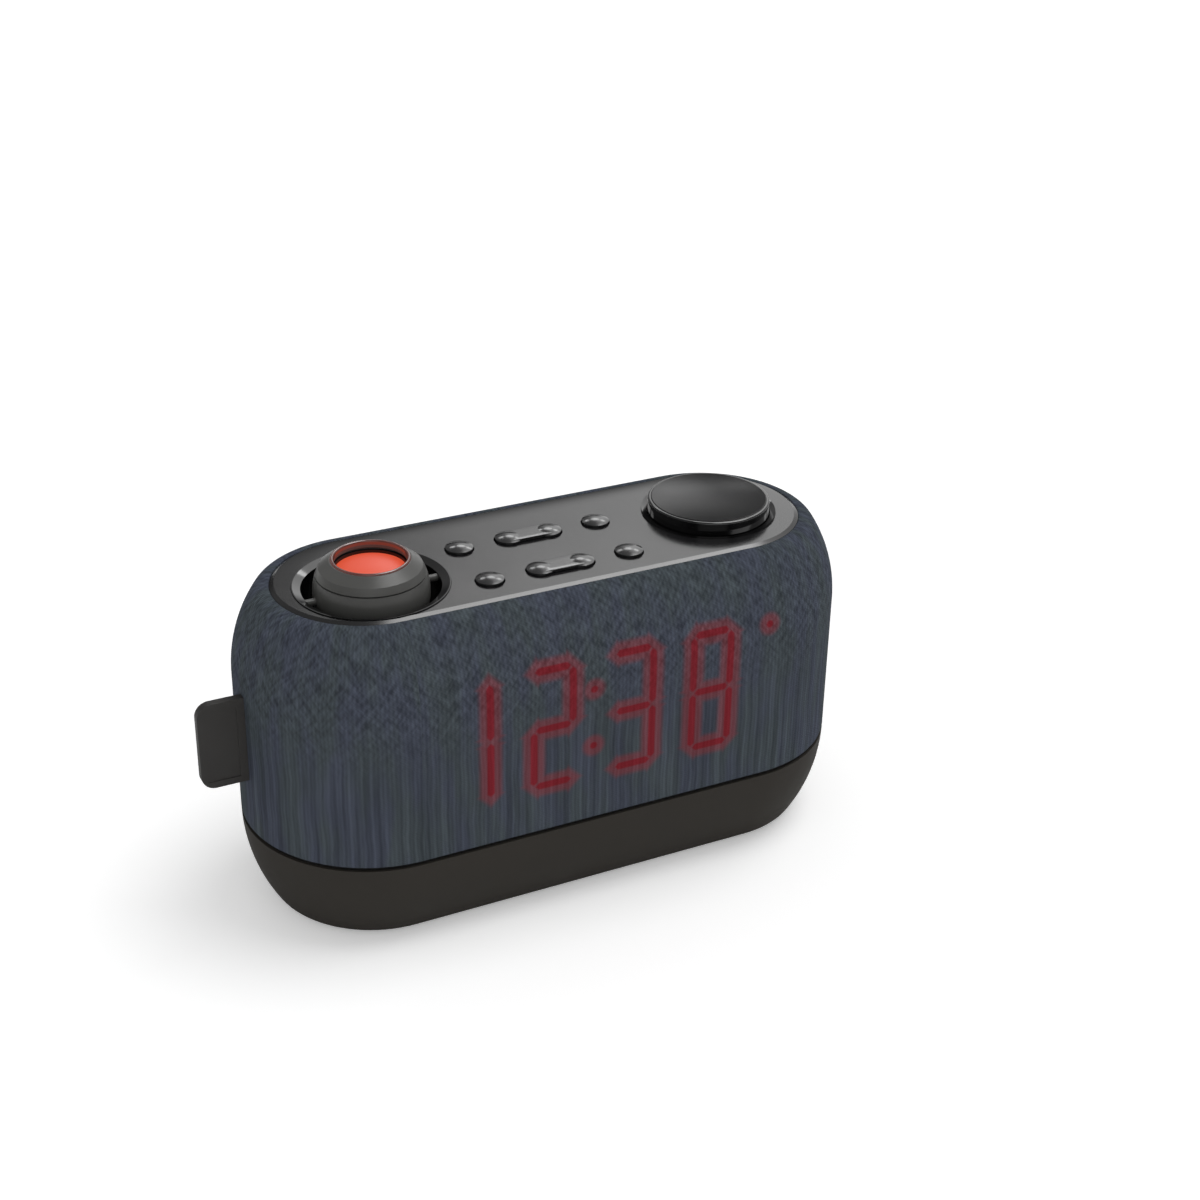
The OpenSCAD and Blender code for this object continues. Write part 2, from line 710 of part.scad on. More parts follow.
// The tag is pushed out through its slot until its root bar meets the carcass
module side_tag() color("#32302e") {
    root = end_x + sqrt(pow(half_depth - carcass_in, 2) - pow(tag_y + tag_t / 2 + tag_bar, 2)) - seat_gap;
    tip = end_x + half_depth + tag_out;
    translate([0, -tag_y, tag_z]) difference() {
        union() {
            translate([0, tag_t / 2, 0]) facing(0, tag_t) {
                translate([tag_round - tip, -tag_h / 2]) square([tip - tag_round - root + tag_bar, tag_h]);
                translate([-tip, tag_round - tag_h / 2]) square([tip - root, tag_h - 2 * tag_round]);
                for (z = [-1, 1]) translate([tag_round - tip, z * (tag_h / 2 - tag_round)])
                    circle(tag_round);
            }
            translate([-root, -tag_t / 2 - tag_bar, -tag_h / 2])
                cube([tag_bar, tag_t + 2 * tag_bar, tag_h]);
        }
        for (y = [-1, 1]) translate([tag_border - tip, y * tag_t / 2 - tag_relief, tag_border - tag_h / 2])
            cube([tag_out - 2 * tag_border, 2 * tag_relief, tag_h - 2 * tag_border]);
    }
}

// ---- top panel and keys ----

// The outline of a rocker, or of its opening, grown by g
module rocker_outline(g = 0) {
    for (x = [-1, 1]) translate([x * rocker_pitch / 2, 0]) circle(key_r + g);
    translate([-rocker_pitch / 2, -rocker_waist / 2 - g]) square([rocker_pitch, rocker_waist + 2 * g]);
}

module top_panel() color("#3b3b3c") {
    difference() {
        translate([0, 0, panel_bottom]) around() {
            polygon([[0, 0], [panel_r, 0], [panel_r, panel_t - panel_bevel_h],
                [panel_r - panel_bevel_w, panel_t], [0, panel_t]]);
        }
        at_well() cylinder(r = well_out + seat_gap, h = body_h + 1);
        translate([snooze_x, 0, 0]) cylinder(r = snooze_hole_r, h = body_h + 1);
        translate([snooze_x, 0, body_h - snooze_ring_t])
            cylinder(r = snooze_hole_r + snooze_ring_w + seat_gap, h = 2 * snooze_ring_t);
        for (x = round_keys_x, y = key_rows) translate([x, y, 0]) cylinder(r = key_hole_r, h = body_h + 1);
        for (y = key_rows) translate([rocker_x, y, 0])
            linear_extrude(body_h + 1) rocker_outline(rocker_gap);
    }
    difference() {
        union() {
            at_key_posts() cylinder(r = key_post_r, h = panel_bottom + sliver - keyboard_z);
            for (y = key_rows, side = [0, 1]) translate([rocker_x, y, 0]) mirror([0, side, 0])
                translate([-ear_side / 2, ear_y, axle_z - ear_side / 2])
                    cube([ear_side, ear_t, panel_bottom + sliver - axle_z + ear_side / 2]);
        }
        at_key_posts() translate([0, 0, -1]) cylinder(r = small_r + bite_gap, h = keyboard_drop);
        translate([rocker_x, half_depth, axle_z]) rotate([90, 0, 0])
            cylinder(r = axle_r + run_gap, h = body_depth);
    }
}

module key_board() color("#1f5a34") difference() {
    translate([board_left, board_front, keyboard_z - board_t])
        cube([board_right - board_left, board_back - board_front, board_t]);
    at_key_posts() translate([0, 0, -2 * board_t]) cylinder(r = small_r + pass_gap, h = 3 * board_t);
}

module keyboard_screws() color("#9a9a9a") at_key_posts()
    translate([0, 0, -board_t]) mirror([0, 0, 1]) screw(small_r, board_t + keyboard_drop / 2);

// A push switch: its case, and the button that a plunger meets
module tact() {
    translate([-tact_side / 2, -tact_side / 2, 0]) cube([tact_side, tact_side, tact_h * 0.75]);
    cylinder(r = plunger_r, h = tact_h);
}

module tact_switches() color("#8d8d88") for (y = key_rows) {
    for (x = round_keys_x) translate([x, y, keyboard_z]) tact();
    for (x = [-1, 1]) translate([rocker_x + x * rocker_pitch / 2, y, keyboard_z]) tact();
}

module round_key(x, y) color("#2c2c2d") translate([x, y, 0]) {
    flange_low = panel_bottom - flange_play - flange_t;
    plunger_low = keyboard_z + tact_h + key_travel + press_gap;
    translate([0, 0, flange_low]) {
        domed(key_r, body_h + key_rise - flange_low, key_dome);
        cylinder(r = flange_r, h = flange_t);
    }
    translate([0, 0, plunger_low]) cylinder(r = plunger_r, h = flange_low + sliver - plunger_low);
}

module key_back_left() round_key(key_left_x, key_row_back);
module key_back_right() round_key(key_right_x, key_row_back);
module key_front_left() round_key(key_left_x, -key_row_front);
module key_front_right() round_key(key_right_x, -key_row_front);

module rocker(y) color("#2c2c2d") translate([rocker_x, y, 0]) {
    side_h = body_h + key_rise - rocker_low;
    plunger_low = keyboard_z + tact_h + rocker_pitch / 2 * sin(rocker_tilt) + press_gap;
    translate([-rocker_pitch / 2, -rocker_waist / 2, rocker_low])
        cube([rocker_pitch, rocker_waist, side_h - rocker_dip]);
    for (x = [-1, 1]) translate([x * rocker_pitch / 2, 0, 0]) {
        translate([0, 0, rocker_low]) domed(key_r, side_h, key_dome);
        translate([0, 0, plunger_low]) cylinder(r = plunger_r, h = rocker_low + sliver - plunger_low);
    }
    translate([0, ear_y + ear_t, axle_z]) rotate([90, 0, 0]) cylinder(r = axle_r, h = 2 * (ear_y + ear_t));
}

module rocker_back() rocker(key_row_back);
module rocker_front() rocker(-key_row_front);

// ---- snooze button ----

module snooze_button() color("#121212") translate([snooze_x, 0, 0]) {
    difference() {
        union() {
            translate([0, 0, snooze_low]) soft_disc(snooze_r, snooze_top - snooze_low, snooze_edge);
            translate([0, 0, snooze_low])
                cylinder(r = snooze_r + snooze_lip, h = panel_bottom - lip_play - snooze_low);
        }
        cylinder(r = snooze_r - snooze_skirt, h = snooze_top - snooze_plate);
        translate([0, 0, snooze_top - snooze_cap_t])
            cylinder(r = snooze_r - snooze_cap_in, h = 2 * snooze_cap_t);
    }
    translate([0, 0, stem_low]) cylinder(r = stem_r, h = snooze_top - snooze_plate + sliver - stem_low);
    translate([snooze_tact_x, 0, guide_floor + tact_h + snooze_travel + press_gap])
        cylinder(r = plunger_r,
            h = snooze_top - snooze_plate + sliver - guide_floor - tact_h - snooze_travel - press_gap);
}

module snooze_cap() color("#2a2a2b") translate([snooze_x, 0, snooze_top - snooze_cap_t])
    soft_disc(snooze_r - snooze_cap_in - seat_gap, snooze_cap_t + snooze_cap_proud, snooze_cap_proud);

// Its top slopes down to the button
module snooze_ring() color("#0c0c0c") translate([snooze_x, 0, body_h - snooze_ring_t]) rotate_extrude()
    translate([snooze_hole_r, 0]) polygon([[0, 0], [snooze_ring_w, 0],
        [snooze_ring_w, snooze_ring_t + snooze_ring_rise], [0, snooze_ring_t]]);

module snooze_guide() color("#1e1e1e") translate([snooze_x, 0, guide_floor - guide_t]) {
    difference() {
        cylinder(r = guide_r, h = panel_bottom - guide_floor + guide_t);
        translate([0, 0, guide_t]) cylinder(r = guide_in, h = body_h);
        translate([0, 0, -1]) cylinder(r = guide_bore, h = body_h);
    }
    translate([0, 0, guide_t - sliver]) tube(sleeve_r, guide_bore, sleeve_h + sliver);
}

module snooze_switch() color("#8d8d88") translate([snooze_x + snooze_tact_x, 0, guide_floor]) tact();

// Half turns that each rise from end to end, between two flat rings
module snooze_spring() color("#b5b5b5") translate([snooze_x, 0, guide_floor + spring_wire]) {
    rise = spring_h - 2 * spring_wire;
    halves = 2 * spring_turns;
    tilt = asin(rise / halves / (2 * spring_r));
    for (z = [0, rise]) translate([0, 0, z]) rotate_extrude()
        translate([spring_r, 0]) circle(spring_wire);
    for (i = [0 : halves - 1]) translate([0, 0, rise * (i + 0.5) / halves])
        rotate([0, 0, 180 * i]) rotate([0, tilt, 0]) rotate_extrude(angle = 180)
            translate([spring_r / cos(tilt), 0]) circle(spring_wire);
}

// ---- projector ----

// Half outline of a bowl round the ball's centre, with upright walls above it
module bowl(r, low, high) intersection() {
    union() {
        translate([0, ball_z]) circle(r);
        translate([0, ball_z]) square([r, body_h]);
    }
    translate([0, low]) square([r, high - low]);
}

module projector_well() color("#0c0c0c") at_well() difference() {
    rotate_extrude() {
        difference() {
            bowl(well_out, well_floor - well_floor_t, rim_z);
            bowl(well_r, well_floor, rim_z + 1);
            polygon([[0, rim_z - rim_slope], [well_r, rim_z - rim_slope], [well_out - rim_land, rim_z],
                [well_out - rim_land, rim_z + 1], [0, rim_z + 1]]);
            square([wire_hole_r, ball_z]);
        }
        translate([well_r + rim_w / 2, panel_bottom - well_flange_t])
            square([rim_w / 2 + well_flange, well_flange_t]);
    }
    translate([-body_depth / 2, 0, ball_z]) rotate([0, 90, 0])
        cylinder(r = trunnion_r + run_gap, h = body_depth);
}

module projector_ball() color("#4a4b4a") at_ball() {
    rotate_extrude() difference() {
        union() {
            intersection() {
                difference() {
                    circle(ball_r);
                    intersection() {
                        circle(inner_r);
                        translate([0, -ball_r]) square([ball_r, ball_r + cap_base - shelf_t]);
                    }
                }
                translate([0, -ball_r]) square([ball_r, ball_r + cap_base]);
            }
            translate([neck_in, cap_base - shelf_t])
                square([neck_r - neck_in, neck_top - cap_base + shelf_t]);
            intersection() {
                circle(inner_r + ball_wall / 2);
                translate([0, lamp_floor - lamp_floor_t]) square([ball_r, lamp_floor_t]);
            }
            translate([tube_in, lamp_floor - sliver]) square([tube_wall, tube_top - lamp_floor + sliver]);
            translate([tube_in - tube_wall, lamp_floor + board_t])
                square([2 * tube_wall, condenser_low - lamp_floor - board_t]);
        }
        translate([0, -ball_r]) square([wire_hole_r, ball_r]);
        translate([0, cap_base - shelf_t - 1]) square([neck_in, ball_r]);
    }
    for (side = [0, 1]) mirror([side, 0, 0]) rotate([0, 90, 0])
        translate([0, 0, ball_r - ball_wall / 2])
            cylinder(r = trunnion_r, h = pin_reach - ball_r + ball_wall / 2);
}

module lamp_board() color("#1f5a34") at_ball() translate([0, 0, lamp_floor])
    cylinder(r = lamp_board_r, h = board_t);

module projector_lamp() color("#d8281c") at_ball() translate([0, 0, lamp_floor + board_t])
    domed(lamp_r, lamp_h, lamp_r * 0.9);

module condenser_lens() color("#d9dde0") at_ball() translate([0, 0, condenser_low])
    domed(tube_in - seat_gap, condenser_edge, condenser_dome);

module time_slide() color("#8a2a22") at_ball()
    translate([-slide_side / 2, -slide_side / 2, tube_top]) cube([slide_side, slide_side, slide_t]);

module focus_cap() color("#4a4b4a") at_ball() rotate_extrude() difference() {
    intersection() {
        difference() {
            circle(ball_r);
            intersection() {
                circle(inner_r);
                translate([0, cap_base]) square([ball_r, ceiling - cap_base]);
            }
        }
        translate([0, cap_base + cap_gap]) square([ball_r, cap_top - cap_base - cap_gap]);
    }
    polygon([[sphere_r(ball_r, cap_top) - cap_bevel, cap_top], [sphere_r(ball_r, bevel_low), bevel_low],
        [ball_r, bevel_low], [ball_r, cap_top]]);
    square([lens_hole_r, ball_r]);
    translate([0, ceiling + ball_wall / 2]) square([lens_hole_r + ring_w + seat_gap, ball_r]);
}

module lens_ring() color("#1a1a1a") at_ball() rotate_extrude()
    translate([lens_hole_r, ceiling + ball_wall / 2]) {
        square([ring_w, ball_wall / 2]);
        translate([ring_w / 2, ball_wall / 2]) circle(ring_w / 2);
    }

module lens_barrel() color("#101010") at_ball() rotate_extrude() difference() {
    translate([lens_r - lens_seat_w, barrel_low])
        square([barrel_r - lens_r + lens_seat_w, barrel_high - barrel_low]);
    translate([0, lens_low]) square([lens_r + seat_gap, ball_r]);
    square([lens_r + seat_gap, lens_low - lens_seat_w]);
}

module projector_lens() color("#7a1712") at_ball() translate([0, 0, lens_low])
    domed(lens_r, lens_edge, lens_dome);

// ---- display ----

// One bar of a numeral, pointed at both ends and set in by g
module bar(len, g) {
    tip = len / 2 - bar_end - g * sqrt(2);
    half = bar_w / 2 - g;
    polygon([[-tip, 0], [half - tip, half], [tip - half, half],
        [tip, 0], [tip - half, -half], [half - tip, -half]]);
}

module at_bar(i, b) translate([(i - 1.5) * digit_pitch - display_shift + BAR_AT[b][0] * digit_w / 2,
    digit_z + BAR_AT[b][1] * digit_h / 4]) rotate(BAR_AT[b][2]) children();

module bars(lit, g) for (i = [0 : 3], b = [0 : 6]) if (LIT[numerals[i]][b] == lit)
    at_bar(i, b) bar(BAR_AT[b][2] == 0 ? digit_w : digit_h / 2, g);

module at_dots() for (dot = dots) translate([dot[0], digit_z + dot[1]]) children();

module display_filter() color("#3a0f10") facing(filter_y + filter_t, filter_t)
    translate([window_left + window_gap, window_bottom + window_gap])
        square([window_right - window_left - 2 * window_gap, window_top - window_bottom - 2 * window_gap]);

module display_lightbox() color("#16161a") facing(lightbox_back, lightbox_t) difference() {
    translate([window_left + window_gap, window_bottom + window_gap])
        square([window_right - window_left - 2 * window_gap, window_top - window_bottom - 2 * window_gap]);
    bars(0, 0);
    bars(1, 0);
    at_dots() circle(dot_r);
}

module lit_segments() color("#e8392f") facing(guide_back, guide_back - lightbox_y) {
    bars(1, bar_gap);
    at_dots() circle(dot_r - bar_gap);
}

module dark_segments() color("#3b1b1b") facing(guide_back, guide_back - lightbox_y) bars(0, bar_gap);

module display_leds() color("#e6d9c0") facing(lightbox_back, led_t) {
    for (i = [0 : 3], b = [0 : 6]) at_bar(i, b) square(led_side, center = true);
    at_dots() square(led_side * 0.8, center = true);
}

module display_board() color("#1f5a34") difference() {
    facing(lightbox_back + board_t, board_t)
        translate([window_left - display_rim, window_bottom])
            square([window_right - window_left + 2 * display_rim, window_top - window_bottom]);
    at_display_screws() translate([0, 0, -board_t]) cylinder(r = small_r + pass_gap, h = 3 * board_t);
}

module display_screws() color("#9a9a9a") at_display_screws() translate([0, 0, board_t])
    screw(small_r, board_t + lightbox_t / 2);

// ---- electronics ----

module main_board() color("#1f5a34") difference() {
    translate([-main_len / 2, main_y - main_depth / 2, main_z]) cube([main_len, main_depth, board_t]);
    at_main_screws() translate([0, 0, -board_t]) cylinder(r = screw_r + pass_gap, h = 3 * board_t);
}

module board_screws() color("#9a9a9a") at_main_screws() translate([0, 0, board_t])
    screw(screw_r, board_t + (main_z - floor_z) / 2);

// A chip with a row of pins on two sides
module chip(size, pins) {
    pitch = size[0] / pins;
    pin_w = pitch / 2;
    pin_t = size[2] / 10;
    pin_out = size[1] / 9;
    translate([-size[0] / 2, -size[1] / 2, pin_t]) cube(size - [0, 0, pin_t]);
    for (i = [0 : pins - 1])
        translate([(i + 0.5) * pitch - size[0] / 2 - pin_w / 2, -size[1] / 2 - pin_out, 0])
            cube([pin_w, size[1] + 2 * pin_out, pin_t + sliver]);
}

module main_chips() color("#222222") translate([rocker_x, main_y, main_z + board_t]) {
    translate([-(plug_size[0] + cpu_size[0]) / 2 - chip_gap, -main_depth / 6, 0]) chip(cpu_size, 12);
    translate([(plug_size[0] + amp_size[0]) / 2 + chip_gap, main_depth / 4, 0]) chip(amp_size, 6);
}

module capacitors() color("#25304d") for (at = [[-0.4, -0.04], [-0.3, 0.3], [0.2, -0.3]])
    translate([at[0] * main_len, main_y + at[1] * main_depth, main_z + board_t]) {
        cylinder(r = cap_r, h = cap_h);
        translate([0, 0, cap_h - sliver]) cylinder(r = cap_r - sheet_t, h = sheet_t);
    }

module tuner_can() color("#b9b9b4")
    translate([main_len / 3 - can_size[0] / 2, main_y - can_size[1] / 2, main_z + board_t]) {
        cube(can_size);
        translate([sheet_t, sheet_t, can_size[2] - sliver])
            cube([can_size[0] - 2 * sheet_t, can_size[1] - 2 * sheet_t, sheet_t]);
    }

// The socket is open to the back; its body sits behind the base's pad
module power_jack() color("#141414") translate([jack_x, jack_face, jack_z]) rotate([90, 0, 0]) difference() {
    union() {
        cylinder(r = jack_r, h = jack_len + sliver);
        translate([-jack_body[0] / 2, -jack_body[2] / 2, jack_len])
            cube([jack_body[0], jack_body[2], jack_body[1]]);
    }
    translate([0, 0, -1]) cylinder(r = jack_bore_r, h = 1 + jack_depth);
}

module jack_pin() color("#c9a94e") translate([jack_x, jack_face, jack_z]) rotate([90, 0, 0])
    translate([0, 0, 1]) cylinder(r = jack_pin_r, h = jack_depth - 1);

// Each ribbon ends in a plug on the board that it serves
module display_ribbon() color("#8c8a80") {
    y_board = lightbox_back + board_t;
    y_drop = y_board + plug_size[2];
    z_top = window_bottom + plug_size[1];
    z_main = main_z + board_t + plug_size[2];
    y_main = main_y - main_depth / 2 + plug_size[1] / 2;
    translate([-plug_size[0] / 2, y_board, z_top - plug_size[1] / 2])
        cube([plug_size[0], plug_size[2], plug_size[1]]);
    translate([-plug_size[0] / 2, y_main - plug_size[1] / 2, main_z + board_t]) cube(plug_size);
    translate([-ribbon_w / 2, y_drop - sliver, z_main]) cube([ribbon_w, ribbon_t, z_top - z_main]);
    translate([-ribbon_w / 2, y_drop - sliver, z_main - sliver])
        cube([ribbon_w, y_main - y_drop, ribbon_t]);
}

module key_ribbon() color("#8c8a80") translate([rocker_x, 0, 0]) {
    z_main = main_z + board_t;
    z_key = keyboard_z - board_t;
    for (z = [z_main, z_key - plug_size[2]])
        translate([-plug_size[0] / 2, -plug_size[1] / 2, z]) cube(plug_size);
    translate([-ribbon_w / 2, -ribbon_t / 2, z_main + plug_size[2] - sliver])
        cube([ribbon_w, ribbon_t, z_key - z_main - 2 * plug_size[2] + 2 * sliver]);
}

module speaker_frame() color("#4b4d50") {
    difference() {
        union() {
            at_speaker() rotate_extrude() difference() {
                union() {
                    translate([basket_r - basket_wall, 0])
                        square([speaker_r - basket_r + basket_wall, speaker_flange_t]);
                    translate([magnet_r - basket_wall, 0]) polygon([
                        [basket_r - magnet_r, 0], [basket_r - magnet_r + basket_wall, 0],
                        [basket_wall, basket_depth], [0, basket_depth]
                    ]);
                    translate([dust_cap_r, basket_depth - basket_wall])
                        square([magnet_r - dust_cap_r, basket_wall]);
                }
                square([basket_r, cone_t]);
            }
            at_speaker_screws() cylinder(r = speaker_boss_r, h = speaker_flange_t);
        }
        at_speaker() for (turn = [0 : 90 : 270]) rotate([0, 0, turn])
            translate([magnet_r + basket_wall / 2, -speaker_r / 5, basket_depth * 0.3])
                cube([speaker_r, speaker_r / 2.5, basket_depth * 0.5]);
        at_speaker_screws() translate([0, 0, -1]) cylinder(r = small_r + pass_gap, h = 3 * speaker_flange_t);
    }
}

// A dust cap, a cone, and the half roll whose rim sits in the basket's rebate
module speaker_cone() color("#1c1c1e") at_speaker() rotate_extrude() {
    slope = (basket_r - magnet_r) / basket_depth;
    roll_x = basket_r - basket_wall - seat_gap - cone_roll * sqrt(1 + slope * slope);
    rim = roll_x - cone_roll;
    translate([0, basket_depth / 2]) square([dust_cap_r + cone_t, cone_t]);
    polygon([[dust_cap_r, basket_depth / 2], [rim, 0], [rim + cone_t, 0],
        [rim + cone_t, cone_t], [dust_cap_r, basket_depth / 2 + 2 * cone_t]]);
    intersection() {
        translate([roll_x, 0]) difference() {
            circle(cone_roll);
            circle(cone_roll - cone_t);
        }
        translate([rim, 0]) square([2 * cone_roll, cone_roll]);
    }
    translate([roll_x + cone_roll - cone_t, 0])
        square([basket_r - seat_gap - roll_x - cone_roll + cone_t, cone_t]);
}

module speaker_magnet() color("#6f7072") at_speaker() translate([0, 0, basket_depth])
    cylinder(r = magnet_r, h = magnet_t);

module speaker_screws() color("#9a9a9a") at_speaker_screws() translate([0, 0, speaker_flange_t])
    screw(small_r, speaker_flange_t + speaker_seat);

// ---- battery ----

module battery_door() color("#2a2928") translate([door_x, door_y, underside]) difference() {
    slot = [2 * cell_r * 0.7, 1.8, 1.2];
    union() {
        cylinder(r = door_r, h = door_t);
        translate([-door_r - lug_out, -lug_w / 2, door_t - lug_t])
            cube([2 * (door_r + lug_out), lug_w, lug_t]);
    }
    translate([-slot[0] / 2, -slot[1] / 2, -1]) cube([slot[0], slot[1], 1 + slot[2]]);
}

module coin_cell() color("#c4c6c8") translate([door_x, door_y, cell_z]) {
    rim = 0.6;
    translate([0, 0, rim / 2]) cylinder(r = cell_r, h = cell_h - rim / 2);
    cylinder(r = cell_r - rim, h = rim);
}

module cell_contacts() color("#c9a94e") translate([door_x, door_y, 0]) {
    leaf = [2 * cell_r * 0.6, 4, contact_t];
    for (z = [cell_z - contact_t, cell_z + cell_h])
        translate([-leaf[0] / 2, -leaf[1] / 2, z]) cube(leaf);
}

base_shell();
rubber_feet();
seam_gasket();
carcass();
fabric_cover();
side_tag();
base_screws();
top_panel();
key_board();
keyboard_screws();
tact_switches();
key_back_left();
key_back_right();
key_front_left();
key_front_right();
rocker_back();
rocker_front();
snooze_button();
snooze_cap();
snooze_ring();
snooze_spring();
snooze_guide();
snooze_switch();
projector_well();
projector_ball();
projector_lamp();
lamp_board();
condenser_lens();
time_slide();
focus_cap();
lens_ring();
lens_barrel();
projector_lens();
display_filter();
display_lightbox();
lit_segments();
dark_segments();
display_leds();
display_board();
display_screws();
main_board();
main_chips();
capacitors();
tuner_can();
board_screws();
power_jack();
jack_pin();
speaker_frame();
speaker_cone();
speaker_magnet();
speaker_screws();
display_ribbon();
key_ribbon();
battery_door();
coin_cell();
cell_contacts();
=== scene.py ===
import json
import math

import bpy
import numpy as np
from mathutils import Matrix, Vector


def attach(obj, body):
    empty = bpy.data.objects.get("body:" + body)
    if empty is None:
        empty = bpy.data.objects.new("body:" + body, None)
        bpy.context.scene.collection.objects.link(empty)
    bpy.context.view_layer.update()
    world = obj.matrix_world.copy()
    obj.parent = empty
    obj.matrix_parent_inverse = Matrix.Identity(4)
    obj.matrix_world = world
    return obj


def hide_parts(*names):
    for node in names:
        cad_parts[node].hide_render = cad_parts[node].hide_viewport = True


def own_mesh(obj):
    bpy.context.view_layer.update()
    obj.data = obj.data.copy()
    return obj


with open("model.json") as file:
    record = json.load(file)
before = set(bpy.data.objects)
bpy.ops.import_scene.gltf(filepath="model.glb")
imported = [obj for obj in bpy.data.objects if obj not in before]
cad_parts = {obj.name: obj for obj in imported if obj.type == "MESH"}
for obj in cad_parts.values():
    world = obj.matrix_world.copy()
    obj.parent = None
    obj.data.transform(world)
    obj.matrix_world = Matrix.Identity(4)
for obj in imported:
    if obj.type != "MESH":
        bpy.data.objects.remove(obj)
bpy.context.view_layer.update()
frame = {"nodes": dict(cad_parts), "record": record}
mm = 0.001
smoothAngle = math.radians(40)  # edges flatter than this are shaded round
print("frame loaded:", len(frame["nodes"]), "nodes")


def linear(hexColour):  # an sRGB hex colour as the linear value that a shader takes
    parts = [int(hexColour[i:i + 2], 16) / 255 for i in (1, 3, 5)]
    return tuple(c / 12.92 if c <= 0.04045 else ((c + 0.055) / 1.055) ** 2.4
                 for c in parts) + (1.0,)


def addNode(tree, kind, settings=None, links=None):  # a node with its settings and incoming links
    node = tree.nodes.new(kind)
    for key, value in (settings or {}).items():
        if isinstance(key, int) or key in node.inputs:
            node.inputs[key].default_value = value
        else:
            setattr(node, key, value)
    for key, source in (links or {}).items():
        tree.links.new(source, node.inputs[key])
    return node


def startMaterial(name):
    material = bpy.data.materials.new(name)
    material.use_nodes = True
    material.node_tree.nodes.clear()
    return material, material.node_tree


def endMaterial(tree, shader):
    out = addNode(tree, "ShaderNodeOutputMaterial")
    tree.links.new(shader.outputs[0], out.inputs["Surface"])


# camera, light and floor

viewpoint = {  # millimetres and degrees
    "target": (17.98, 0.0, 74.05),
    "distance": 583.29,
    "azimuth": -27.1,
    "elevation": 27.52,
    "roll": 1.14,
    "lens": 60.89,
    "sensor": 36,
    "clip": (0.01, 50),  # metres
}


def placeCamera(look):
    data = bpy.data.cameras.new("camera")
    data.sensor_width = look["sensor"]
    data.lens = look["lens"]
    data.clip_start, data.clip_end = look["clip"]
    camera = bpy.data.objects.new("camera", data)
    bpy.context.scene.collection.objects.link(camera)
    azimuth, elevation, roll = (math.radians(look[k]) for k in ("azimuth", "elevation", "roll"))
    back = Vector((math.sin(azimuth) * math.cos(elevation),
                   -math.cos(azimuth) * math.cos(elevation), math.sin(elevation)))
    right = (-back).cross(Vector((0, 0, 1))).normalized()
    up = right.cross(-back)
    turnedRight = right * math.cos(roll) + up * math.sin(roll)
    turnedUp = up * math.cos(roll) - right * math.sin(roll)
    place = (Vector(look["target"]) + back * look["distance"]) * mm
    camera.matrix_world = Matrix.Translation(place) @ Matrix(
        (turnedRight, turnedUp, back)).transposed().to_4x4()
    bpy.context.scene.camera = camera


placeCamera(viewpoint)
bpy.context.scene.view_settings.view_transform = "Standard"

studio = {
    "ambient": 0.48,               # what the room gives to every side
    "frontLevel": 0.16,            # how bright the dark side of the room looks in a reflection
    "backLevel": 1.0,              # and its white side, behind the clock
    "frontToBack": (-0.55, 0.15),  # where the one turns into the other
    "across": [(0.0, 0.2), (0.26, 0.33), (0.38, 1.0),  # (place from left to right, level)
               (0.5, 1.45), (0.66, 1.1), (0.82, 0.45)],
    "low": [(0.0, 0.05), (0.3, 0.06), (0.49, 0.1),     # the same near the horizon
            (0.56, 1.1), (0.68, 1.1), (0.82, 0.45)],
    "horizon": (0.12, 0.4),        # how high the low band reaches before it fades
    "floorSize": 30,               # metres
    "floorLift": 0.3,              # how much the paper is lightened for the camera alone
    "lamps": [  # azimuth it comes from, elevation, strength, apparent size, lights matt surfaces
        ("keyLamp", 98, 68, 0.95, 34, True),
        ("frontLamp", 200, 34, 0.24, 50, True),
        ("bevelStrip", 68, 64, 0.1, 22, False),
        ("leftStrip", 8, 37, 0.06, 9, False),
        ("middleStrip", 26, 37, 0.12, 14, False),
        ("rightStrip", 44, 37, 0.06, 9, False),
    ],
}


